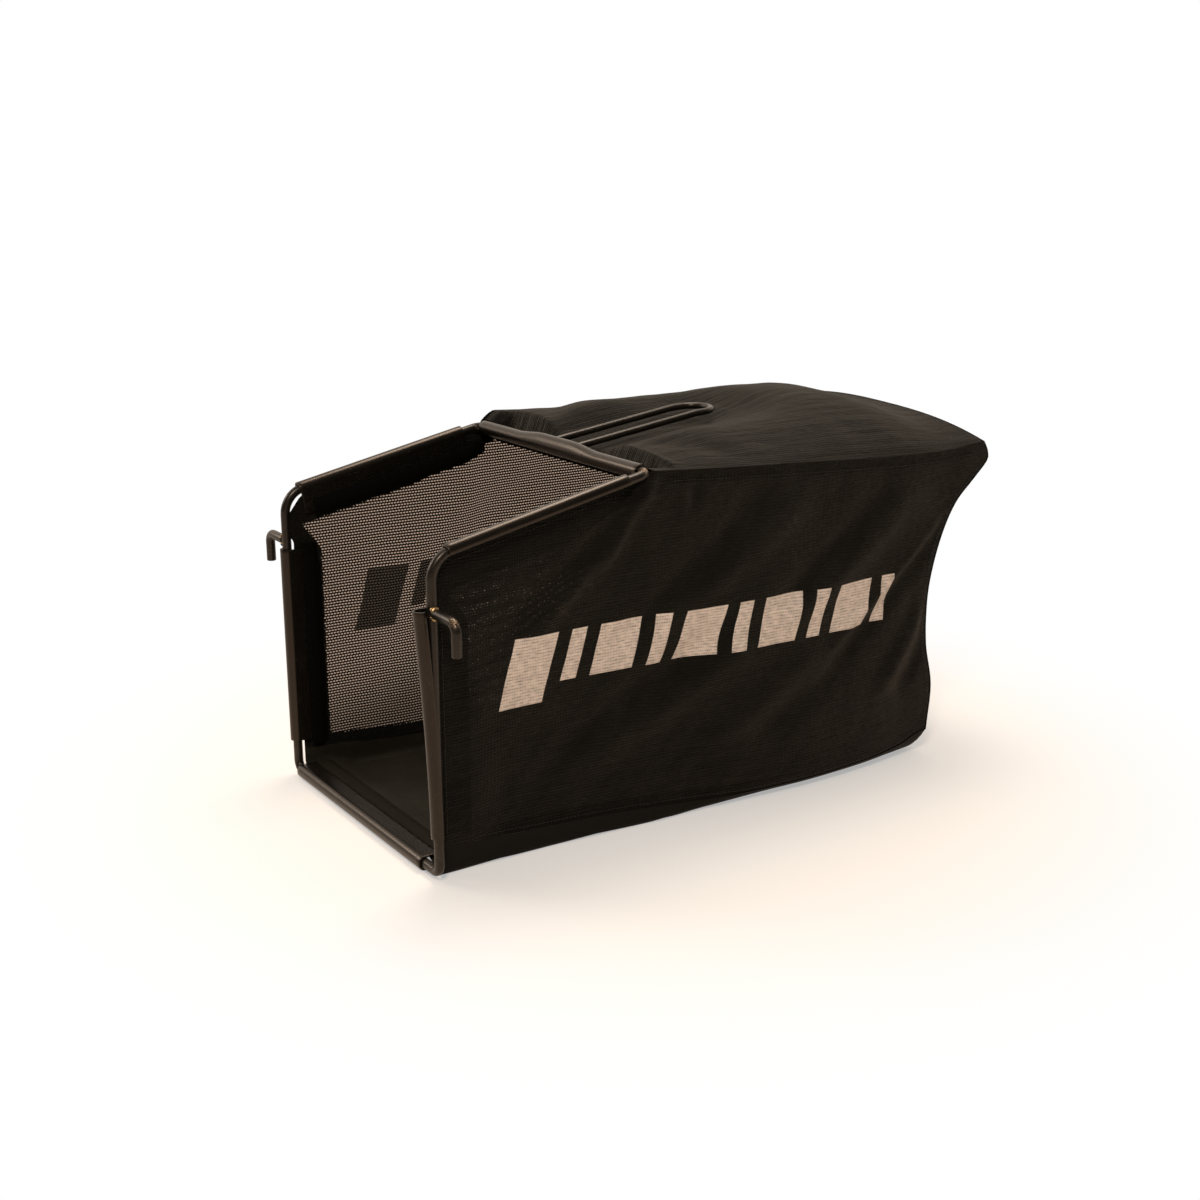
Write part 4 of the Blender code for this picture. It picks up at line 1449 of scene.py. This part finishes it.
def cloth_panel(name: str, columns: int, rows: int,
                point: Callable[[float, float], ClothPoint], flip: bool = False) -> bpy.types.Object:
    """Makes a sheet of cloth from a grid of points.

    Args:
        name: The piece's name.
        columns: Steps across the panel.
        rows: Steps along the panel.
        point: Gives the cloth's point at shares from 0 to 1 across and along.
        flip: True to turn the sheet's outside round.

    Returns:
        The sheet, with its weave as a UV map and its seam distance and openness as attributes.
    """
    grid = bmesh.new()
    weave = grid.loops.layers.uv.new("weave")
    seam = grid.verts.layers.float.new("seam")
    opened = grid.verts.layers.float.new("open")
    points = [[point(c / columns, r / rows) for c in range(columns + 1)] for r in range(rows + 1)]
    verts = []
    for line in points:
        row = []
        for item in line:
            vertex = grid.verts.new(item.place)
            vertex[seam] = item.seam
            vertex[opened] = item.open
            row.append(vertex)
        verts.append(row)
    for r in range(rows):
        for c in range(columns):
            corners = [(r, c), (r, c + 1), (r + 1, c + 1), (r + 1, c)]
            if flip:
                corners.reverse()
            face = grid.faces.new([verts[a][b] for a, b in corners])
            face.smooth = True
            for loop, (a, b) in zip(face.loops, corners):
                loop[weave].uv = points[a][b].weave
    mesh = bpy.data.meshes.new(name)
    grid.to_mesh(mesh)
    grid.free()
    return new_piece(name, mesh)


class TapeStation(NamedTuple):
    """A place on a clip's tail end, on the cloth, with the way on along the cloth and the way in."""

    at: Vector
    across: Vector
    inward: Vector


# A tape's section in millimetres: past the tail's end along the cloth, and inwards from the cloth.
TAPE_SECTION = ((-10.0, 3.45), (-9.6, 4.1), (-5.0, 4.5), (-0.5, 4.4), (1.2, 3.8), (2.6, 2.5), (4.8, 1.9),
                (6.2, 1.5), (6.8, 1.1), (6.2, 0.8), (2.4, 0.6), (0.7, 0.7), (0.5, 3.4))


@dataclass
class Bag:
    """The sewn bag: four mesh panels, a coated floor, hem tapes and stitches."""

    form: BagForm
    finishes: Finishes
    grain: float = 4 * MM
    row_inset: float = 9 * MM
    hem_overlap: float = 9 * MM
    tape_steps: int = 110

    def build(self) -> None:
        """Builds the panels, then the tapes and the stitches on them."""
        for side in Side:
            self._side(side)
        self._top()
        self._rear()
        self._floor()
        self._tapes()
        self._stitches()

    def _hand_over(self, piece: bpy.types.Object, finish: Finish,
                   node: str) -> None:
        finish_off(piece, self.form.layout, self.finishes, finish, node)

    def side_point(self, side: Side, across: float, up: float) -> ClothPoint:
        """A point of a side panel at shares from the front to the rear and from the floor to the top."""
        form = self.form
        last = form.reach
        top_y = form.front_y + (last - form.front_y) * across
        top = form.side_top(top_y, side.value)
        foot = form.side_bottom(form.front_y + (form.rear_edge(form.bottom_seam) - form.front_y) * across)
        z = foot + (top - foot) * up
        wrap = 5 * MM * ramp(z, 214 * MM, 221 * MM)
        front_y = form.front_y - wrap
        y = front_y + (form.rear_edge(z) - front_y) * across
        x = side.value * form.side_x(y, z, side)
        to_rear = form.rear_edge(z) - y
        to_top = top - z
        to_bottom = z - foot
        bar = form.layout.slant_point(side, y).z - z
        hem = form.hem - self.hem_overlap
        front = max(y - hem * (1 - ramp(z, 200 * MM, 238 * MM)), 0.0)
        under_bar = max(bar - hem * (1 - 0.6 * ramp(y, 120 * MM, 178 * MM)), 0.0)
        under_bar = under_bar if y < form.seam_y else 1.0
        seam = min(to_rear, to_top, to_bottom, front, under_bar)
        pull = 0.9 * MM * math.exp(-min(to_rear, to_bottom) / (5 * MM)) if y > 60 * MM else 0.0
        # Painted shade: the right panel is left nearly closed, so its own dark cloth stands where the dark
        # inside of the bag would show through its holes. The left panel is less open towards the bottom and
        # the front, so it shows darker there.
        if side is Side.RIGHT:
            opened = 0.03 + 0.30 * (1 - ramp(y, 50 * MM, 170 * MM)) * ramp(z, 100 * MM, 150 * MM)
        else:
            opened = 0.88 * (0.41 + 0.59 * ramp(z - 0.25 * y, 5 * MM, 85 * MM))
        return ClothPoint(Vector((x - side.value * pull, y, z)), (y, z), seam, opened)

    def _side(self, side: Side) -> None:
        """Builds one side panel."""
        form = self.form
        columns = round(form.reach / self.grain)
        rows = round(0.28 / self.grain)
        piece = cloth_panel(f"mesh_side_{side.word}", columns, rows,
                            lambda c, r: self.side_point(side, c, r), flip=side is Side.LEFT)
        self._hand_over(piece, self.finishes.printed_knit, f"side_panel_{side.word}")

    def top_hem(self, down: float) -> Vector:
        """A point of the top's hem on the cross clip's tail, by its distance down the tail."""
        form, clips = self.form, self.form.clips
        off = clips.cross_inner * (clips.inner_radius - form.seam_gap - form.cloth)
        return Vector((0, form.layout.slant_run, form.layout.cross_z)) - clips.cross_front * down + off

    def top_point(self, across: float, along: float) -> ClothPoint:
        """A point of the top at shares from left to right and from the cross bar to the rear."""
        form = self.form
        hem_share, tail_share, tail_from, slack = 0.11, 0.55, 6 * MM, 45 * MM
        share = 2 * across - 1
        lap = ramp(abs(share), 0.85, 0.92)
        first_y = form.seam_y + 12 * MM
        if along >= hem_share:
            t = (along - hem_share) / (1 - hem_share)
            y = first_y + (form.reach - first_y) * t
            x = share * form.top_half(y)
            z = form.top_height(x, y)
        else:
            t = along / hem_share
            edge_y = form.layout.slant_run + form.layout.wire / 2 + 2 * MM
            edge_y += (first_y - edge_y) * t
            half = form.top_half(edge_y)
            edge_z = form.seam_height(edge_y, share) + 1.5 * MM * (1 - abs(share))
            edge = Vector((share * half, edge_y, edge_z))
            low = self.top_hem(tail_from + (form.clips.tail - tail_from) * min(t / tail_share, 1.0))
            if t > tail_share:
                rise = (t - tail_share) / (1 - tail_share)
                target = Vector((0, first_y, form.top_height(share * form.top_half(first_y), first_y)))
                low = low.lerp(target, rise * rise * (3 - 2 * rise))
            low.x = share * half * (0.985 + 0.015 * t)
            place = low.lerp(edge, lap)
            x, y, z = place
        to_side = form.top_half(y) - abs(x)
        to_rear = form.reach - y
        pull = 0.8 * MM * math.exp(-to_rear / (5 * MM))
        place = Vector((x * 22, y * 22, 7.0))
        crumple = 0.8 * MM * noise.noise(place) + 0.3 * MM * noise.noise(place * 2.9)
        crumple *= ramp(to_side, 0, 18 * MM) * ramp(to_rear, 0, 20 * MM)
        crumple *= ramp(along, hem_share, hem_share + 0.1)
        near_handle = (1 - ramp(abs(x), 30 * MM, 60 * MM)) * (1 - ramp(y, 0.36, 0.40))
        crumple = min(crumple, 0.0) if near_handle > 0.3 else crumple
        front = 1.0 if along > 0.6 * hem_share else 0.0
        seam = min(to_side, to_rear, front)
        woven = y if along >= hem_share else first_y - (1 - along / hem_share) * slack
        # Painted shade: the top is left closed, so its own dark cloth stands where the dark inside of the bag
        # would show through its holes.
        return ClothPoint(Vector((x, y, z + crumple - pull)), (woven, x), seam)

    def _top(self) -> None:
        """Builds the top panel."""
        columns = round(0.27 / self.grain)
        rows = round(0.42 / self.grain)
        piece = cloth_panel("mesh_top", columns, rows, self.top_point)
        self._hand_over(piece, self.finishes.knit, "top_panel")

    def rear_point(self, across: float, up: float) -> ClothPoint:
        """A point of the rear panel at shares from left to right and from the floor to the top."""
        form = self.form
        share = 2 * across - 1
        side = Side.RIGHT if share >= 0 else Side.LEFT
        top = form.top_height(share * form.top_half(form.reach), form.reach) - 0.2 * MM
        z = form.bottom_seam + (top - form.bottom_seam) * up
        y = form.rear_edge(z)
        half = form.side_x(y, z, side)
        sag = form.rear_sag * (1 - share ** 2) * math.sin(math.pi * up)
        place = Vector((share * 4.0, z * 24, 11.0))
        crumple = 1.6 * MM * noise.noise(place) + 0.6 * MM * noise.noise(place * 2.6)
        fold = 1.8 * MM * math.sin((share * 0.9 + z * 9.0) * 5.0) * (1 - share ** 2)
        loose = ramp(1 - abs(share), 0.0, 0.14) * ramp(up, 0, 0.1) * ramp(1 - up, 0, 0.1)
        to_side = half * (1 - abs(share))
        seam = min(to_side, z - form.bottom_seam, top - z)
        # Painted shade: the rear is left nearly closed, so its own dark cloth stands where the dark inside of
        # the bag would show through its holes.
        return ClothPoint(Vector((share * half, y - sag + (crumple + fold) * loose, z)),
                          (share * half, z), seam, 0.08)

    def _rear(self) -> None:
        """Builds the rear panel."""
        piece = cloth_panel("mesh_rear", round(0.28 / self.grain), round(0.28 / self.grain),
                            self.rear_point, flip=True)
        self._hand_over(piece, self.finishes.knit, "rear_panel")

    def floor_point(self, across: float, along: float) -> ClothPoint:
        """A point of the floor at shares from left to right over its turned-up sides and from the front."""
        form = self.form
        last_y = form.rear_edge(form.bottom_seam)
        y = form.front_y + (last_y - form.front_y) * along ** 0.95
        share = 2 * across - 1
        side = Side.RIGHT if share >= 0 else Side.LEFT
        corner, low, seam = form.corner(y), form.edge_height(y, side), form.side_bottom(y)
        half = form.side_x(y, max(seam, low + corner), side)
        turned = math.acos(max(1 - (seam - low) / corner, 0.0))
        wall = max(seam - low - corner, 0.0)
        flat, arc = half - corner, corner * turned
        run = abs(share) * (flat + arc + wall)
        angle = min(max(run - flat, 0.0) / corner, turned)
        x = min(run, flat) + corner * math.sin(angle)
        middle = form.floor_lift(y)
        z = middle + (low - middle) * ramp(x, 104 * MM, 118 * MM)
        z += corner * (1 - math.cos(angle)) + max(run - flat - arc, 0.0)
        back = max(y - (last_y - form.rear_round), 0.0) / form.rear_round
        rear = 1 - math.sqrt(max(1 - back * back, 0.0))
        z += (form.bottom_seam - z) * rear
        dent = 0.35 * MM * max(noise.noise(Vector((x * 30 * side.value, y * 30, 2.0))), 0.0)
        return ClothPoint(Vector((side.value * x, y, z + dent * (1 - rear))), (side.value * run, y), 1.0)

    def _floor(self) -> None:
        """Builds the floor."""
        piece = cloth_panel("floor_cloth", 76, round(0.5 / self.grain), self.floor_point, flip=True)
        self._hand_over(piece, self.finishes.coated, "bottom_panel")

    def _tapes(self) -> None:
        """Builds the overlocked tapes that wrap the clips' tails on their inner faces."""
        form, lay, clips = self.form, self.form.layout, self.form.clips
        down = lay.down_slant
        for side in Side:
            inward = Vector((-side.value, 0, 0))

            def upright(share: float, side: Side = side, inward: Vector = inward) -> TapeStation:
                """A place on the upright's hem."""
                z = form.turn_z - 3 * MM + share * (lay.top_front_z - 42 * MM - form.turn_z)
                x = side.value * form.side_x(clips.tail, z, side)
                return TapeStation(Vector((x, clips.tail, z)), Vector((0, 1, 0)), inward)

            def slanted(share: float, side: Side = side, inward: Vector = inward) -> TapeStation:
                """A place on the slanted bar's hem."""
                at = lay.slant_point(side, 21 * MM + share * (lay.slant_run - 22 * MM)) + down * clips.tail
                at.x = side.value * (form.side_x(at.y, at.z, side) - form.corner_fold(at.y, at.z, side))
                return TapeStation(at, down, inward)

            self._tape(f"hem_upright_{side.word}", upright, self.finishes.tape)
            self._tape(f"hem_slant_{side.word}", slanted, self.finishes.tape)

        def bottom(share: float) -> TapeStation:
            """A place on the floor's front hem."""
            x = clips.bottom_from + share * (clips.bottom_to - clips.bottom_from)
            return TapeStation(Vector((x, clips.tail, form.floor_lift(clips.tail))), Vector((0, 1, 0)),
                               Vector((0, 0, 1)))

        def cross(share: float) -> TapeStation:
            """A place on the top's hem over the cross clip's tail."""
            at = self.top_hem(clips.tail)
            at.x = (share - 0.5) * (clips.cross_length - 6 * MM)
            return TapeStation(at, -clips.cross_front, clips.cross_inner)

        self._tape("hem_bottom", bottom, self.finishes.floor_tape)
        self._tape("hem_cross", cross, self.finishes.tape)

    def _tape(self, name: str, route: Callable[[float], TapeStation], finish: Finish) -> None:
        """Builds one tape round a clip's tail, with ragged edges.

        Args:
            name: The piece's name.
            route: Gives the tape's station at a share of its length.
            finish: The tape's material.
        """
        size, steps = len(TAPE_SECTION), self.tape_steps
        points = []
        for step in range(steps + 1):
            at, across, inward = route(step / steps)
            for index, (over, rise) in enumerate(TAPE_SECTION):
                ragged = 1.1 * noise.noise(at * 330 + Vector((0, 0, 5.0 * index))) if abs(over) > 4 else 0.25
                ragged -= 0.4 * over * ramp(step / steps, 0.86, 1.0) if over > 1 else 0.0
                wave = 0.12 * noise.noise(at * 260 + Vector((index, 0, 0)))
                points.append(at + across * ((over + ragged) * MM) + inward * ((rise + wave) * MM))
        faces = [tuple(reversed(range(size)))]
        for r in range(steps):
            for i in range(size):
                j = (i + 1) % size
                faces.append((r * size + i, r * size + j, (r + 1) * size + j, (r + 1) * size + i))
        faces.append(tuple(steps * size + i for i in range(size)))
        mesh = bpy.data.meshes.new(name)
        mesh.from_pydata(points, [], faces)
        girth = 2.2 * MM
        length = (route(1.0).at - route(0.0).at).length
        layer = mesh.uv_layers.new(name="weave")
        for loop in mesh.loops:
            row, column = divmod(loop.vertex_index, size)
            layer.data[loop.index].uv = (column * girth, row * length / steps)
        piece = new_piece(name, mesh)
        take(piece)
        bpy.ops.object.mode_set(mode="EDIT")
        bpy.ops.mesh.select_all(action="SELECT")
        bpy.ops.mesh.normals_make_consistent(inside=False)
        put_tools_down()
        smooth_off(piece, 60)
        finish_off(piece, self.form.layout, self.finishes, finish)

    def _stitches(self) -> None:
        """Sews the hems and the seams."""
        form, lay, clips = self.form, self.form.layout, self.form.clips
        sewer = Sewer(self.finishes, lay)
        pitch, hem_row, over_tail, swing = 3.4 * MM, clips.tail - 4 * MM, 0.15 * MM, 0.8 * MM
        inset, down = self.row_inset, lay.down_slant
        for side in Side:
            outward = Vector((side.value, 0, 0))

            def on_side(y: float, z: float, side: Side = side) -> Vector:
                """A place just outside a side panel."""
                return Vector((side.value * (form.side_x(y, z, side) + 0.25 * MM), y, z))

            sewer.row([on_side(inset, z) for z in stations(36 * MM, 3 * MM, 57)], outward)
            tail_x = side.value * (lay.half_width - clips.outer_radius - over_tail)
            low = lay.axis_z + clips.upright_from
            sewer.row([Vector((tail_x, hem_row, z)) for z in stations(low, pitch, 50)], -outward, swing)
            slanted = [lay.slant_point(side, back) + down * inset for back in stations(18 * MM, pitch, 46)]
            sewer.row([on_side(at.y, at.z) for at in slanted], outward)
            seam = [y for y in stations(form.seam_y + 8 * MM, pitch, 100) if y < form.reach - 8 * MM]
            sewer.row([on_side(y, form.side_top(y, side.value) - inset) for y in seam], outward)
            bottom = stations(34 * MM, 3.6 * MM, 128)
            sewer.row([on_side(y, form.side_bottom(y) + 4 * MM) for y in bottom], outward)
            rear = stations(form.bottom_seam + 5 * MM, 3.5 * MM, 70)
            sewer.row([on_side(form.rear_edge(z) - 6 * MM, z) for z in rear], outward)
        top_row = []
        for x in stations(-35.5 * 3.5 * MM, 3.5 * MM, 72):
            z = form.top_height(x, form.reach) - inset
            top_row.append(Vector((x, form.rear_edge(z) + 0.3 * MM, z)))
        sewer.row(top_row, Vector((0, 1, 0)))
        floor_top = lay.axis_z + clips.outer_radius + over_tail
        front = stations(clips.bottom_from + 3 * MM, pitch, 66)
        sewer.row([Vector((x, hem_row, floor_top)) for x in front], Vector((0, 0, 1)), swing)
        sewer.finish("seam_stitches")


class Sewer:
    """Lays rows of stitches, each a copy of one small thread loop."""

    half_stitch = 1.35 * MM
    straight_share = 0.41
    zigzag_share = 0.5

    def __init__(self, finishes: Finishes, layout: Layout) -> None:
        """Shapes the one stitch that is copied.

        Args:
            finishes: The materials.
            layout: Where the mouth is.
        """
        self.finishes = finishes
        self.layout = layout
        put_tools_down()
        bpy.ops.mesh.primitive_uv_sphere_add(segments=6, ring_count=5, radius=1.0,
                                             scale=(0.34 * MM, 0.26 * MM, self.half_stitch))
        stitch = bpy.context.object
        bake_place(stitch)
        self.points = [vertex.co.copy() for vertex in stitch.data.vertices]
        self.faces = [tuple(face.vertices) for face in stitch.data.polygons]
        mesh = stitch.data
        bpy.data.objects.remove(stitch, do_unlink=True)
        bpy.data.meshes.remove(mesh)
        self.all_points: list[tuple[float, float, float]] = []
        self.all_faces: list[tuple[int, ...]] = []

    def row(self, line: Sequence[Vector], outward: Vector, zigzag: float = 0.0) -> None:
        """Lays one stitch between each two neighbouring places of a line.

        Args:
            line: The needle's places, in order.
            outward: The way out of the cloth.
            zigzag: How far the needle swings to each side.
        """
        swung = []
        for index, place in enumerate(line):
            ahead = line[min(index + 1, len(line) - 1)] - line[max(index - 1, 0)]
            across = ahead.cross(outward).normalized()
            swung.append(place + across * (zigzag * (1 if index % 2 else -1)))
        for start, end in zip(swung, swung[1:]):
            along = end - start
            length = along.length
            along.normalize()
            across = outward.cross(along).normalized()
            up = along.cross(across)
            stretch = (self.zigzag_share if zigzag else self.straight_share) * length / self.half_stitch
            turn = Matrix((across, up, along)).transposed()
            base = len(self.all_points)
            middle = (start + end) / 2
            for point in self.points:
                local = Vector((point.x, point.y, point.z * stretch))
                self.all_points.append(tuple(middle + turn @ local))
            self.all_faces.extend(tuple(base + i for i in face) for face in self.faces)

    def finish(self, name: str) -> None:
        """Makes one piece of all the stitches."""
        mesh = bpy.data.meshes.new(name)
        mesh.from_pydata(self.all_points, [], self.all_faces)
        mesh.shade_smooth()
        finish_off(new_piece(name, mesh), self.layout, self.finishes, self.finishes.thread)


# Studio


@dataclass
class Studio:
    """The pale room round the catcher, its lights and its camera."""

    lens: float = 48.0
    sensor: float = 36.0
    eye: tuple[float, float, float] = (1.12709, -0.80488, 0.54776)
    pitch_down: float = 0.2809
    turn: float = 0.9757
    floor_colour: Colour = (0.99, 0.92, 0.83)
    bounced_colour: Colour = (0.80, 0.66, 0.54)
    room_colour: Colour = (1.0, 1.0, 1.0)
    filtered_colour: Colour = (0.50, 0.36, 0.27)
    lamp_colour: Colour = (1.0, 0.88, 0.76)
    backdrop_way: tuple[float, float, float] = (-0.78, 0.52, 0.35)

    def build(self) -> None:
        """Builds the studio."""
        scene = bpy.context.scene
        scene.view_settings.view_transform = "Standard"
        self._camera(scene)
        self._floor()
        self._world(scene)
        self._lamp("overhead_softbox", (-0.35, 0.35, 1.9), 0.8, 19.0)
        self._lamp("front_softbox", (-1.3, -1.3, 1.0), 0.7, 10.0)
        self._lamp("side_softbox", (1.3, -1.15, 2.0), 0.5, 27.0)

    def _camera(self, scene: bpy.types.Scene) -> None:
        """Sets the camera up where the photograph was taken."""
        data = bpy.data.cameras.new("camera")
        data.lens = self.lens
        data.sensor_width = self.sensor
        camera = bpy.data.objects.new("camera", data)
        camera.location = self.eye
        camera.rotation_euler = (math.pi / 2 - self.pitch_down, 0, self.turn)
        scene.collection.objects.link(camera)
        scene.camera = camera

    def _floor(self) -> None:
        """Lays the pale floor: matt under the catcher, where its shadow falls, and white far off."""
        put_tools_down()
        bpy.ops.mesh.primitive_plane_add(size=14, location=(0, 0, -0.0004))
        floor = bpy.context.object
        floor.name = "studio_floor"
        bake_place(floor)
        made = bpy.data.materials.new("studio_floor")
        made.use_nodes = True
        board = NodeBoard(made.node_tree)
        matt = board.add("ShaderNodeBsdfDiffuse")
        matt.inputs["Color"].default_value = shade(self.floor_colour)
        path = board.add("ShaderNodeLightPath")
        seen = board.math("MAXIMUM", path.outputs["Is Camera Ray"], path.outputs["Is Glossy Ray"])
        reach = board.add("ShaderNodeVectorMath", operation="LENGTH")
        board.feed(reach.inputs[0], board.place())
        far = board.step(reach.outputs["Value"], 0.28, 0.56, 0.40, 1.0)
        glow = board.add("ShaderNodeEmission")
        board.feed(glow.inputs["Color"], self._seen_colour(board, path))
        mix = board.add("ShaderNodeMixShader")
        filtered = board.math("GREATER_THAN", path.outputs["Transparent Depth"], 0.5)
        board.feed(mix.inputs[0], board.times(seen, board.math("MAXIMUM", far, filtered)))
        board.feed(mix.inputs[1], matt.outputs[0])
        board.feed(mix.inputs[2], glow.outputs[0])
        board.feed(board.add("ShaderNodeOutputMaterial").inputs["Surface"], mix.outputs[0])
        floor.data.materials.append(made)

    def _seen_colour(self, board: NodeBoard, path: bpy.types.Node) -> bpy.types.NodeSocket:
        """The room's colour as seen: white, but dimmed and warmed where it is seen through the knit."""
        filtered = board.math("GREATER_THAN", path.outputs["Transparent Depth"], 0.5)
        direct = board.mix(path.outputs["Is Glossy Ray"], shade(self.room_colour), shade(self.bounced_colour))
        return board.mix(filtered, direct, shade(self.filtered_colour))

    def _world(self, scene: bpy.types.Scene) -> None:
        """Lights the room softly, most of all from the backdrop behind the catcher."""
        world = bpy.data.worlds.new("studio")
        world.use_nodes = True
        scene.world = world
        board = NodeBoard(world.node_tree)
        path = board.add("ShaderNodeLightPath")
        seen = board.add("ShaderNodeBackground")
        board.feed(seen.inputs["Color"], self._seen_colour(board, path))
        towards = board.add("ShaderNodeVectorMath", operation="DOT_PRODUCT")
        board.feed(towards.inputs[0], board.add("ShaderNodeTexCoord").outputs["Generated"])
        towards.inputs[1].default_value = Vector(self.backdrop_way).normalized()
        light = board.add("ShaderNodeBackground")
        light.inputs["Color"].default_value = shade(self.lamp_colour)
        board.feed(light.inputs["Strength"], board.step(towards.outputs["Value"], 0.05, 0.75, 0.05, 1.05))
        mix = board.add("ShaderNodeMixShader")
        board.feed(mix.inputs[0], path.outputs["Is Camera Ray"])
        board.feed(mix.inputs[1], light.outputs[0])
        board.feed(mix.inputs[2], seen.outputs[0])
        board.feed(board.add("ShaderNodeOutputWorld").inputs["Surface"], mix.outputs[0])

    def _lamp(self, name: str, at: tuple[float, float, float], size: float, power: float) -> None:
        """Hangs a square softbox that points at the catcher."""
        data = bpy.data.lights.new(name, "AREA")
        data.size = size
        data.energy = power
        data.color = self.lamp_colour
        lamp = bpy.data.objects.new(name, data)
        lamp.location = at
        aim = Vector((0, 0, 0.15)) - Vector(at)
        lamp.rotation_euler = aim.to_track_quat("-Z", "Y").to_euler()
        bpy.context.scene.collection.objects.link(lamp)


def main() -> None:
    """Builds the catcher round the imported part, and the studio round the catcher."""
    logging.basicConfig(level=logging.INFO, format="%(message)s")
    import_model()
    layout = Layout.from_part()
    finishes = Finishes()
    WireWork(layout, finishes).build()
    clips = ClipSet(layout, finishes)
    clips.build()
    form = BagForm(layout, clips)
    Bag(form, finishes).build()
    Studio().build()
    put_tools_down()


if __name__ == "__main__":
    main()
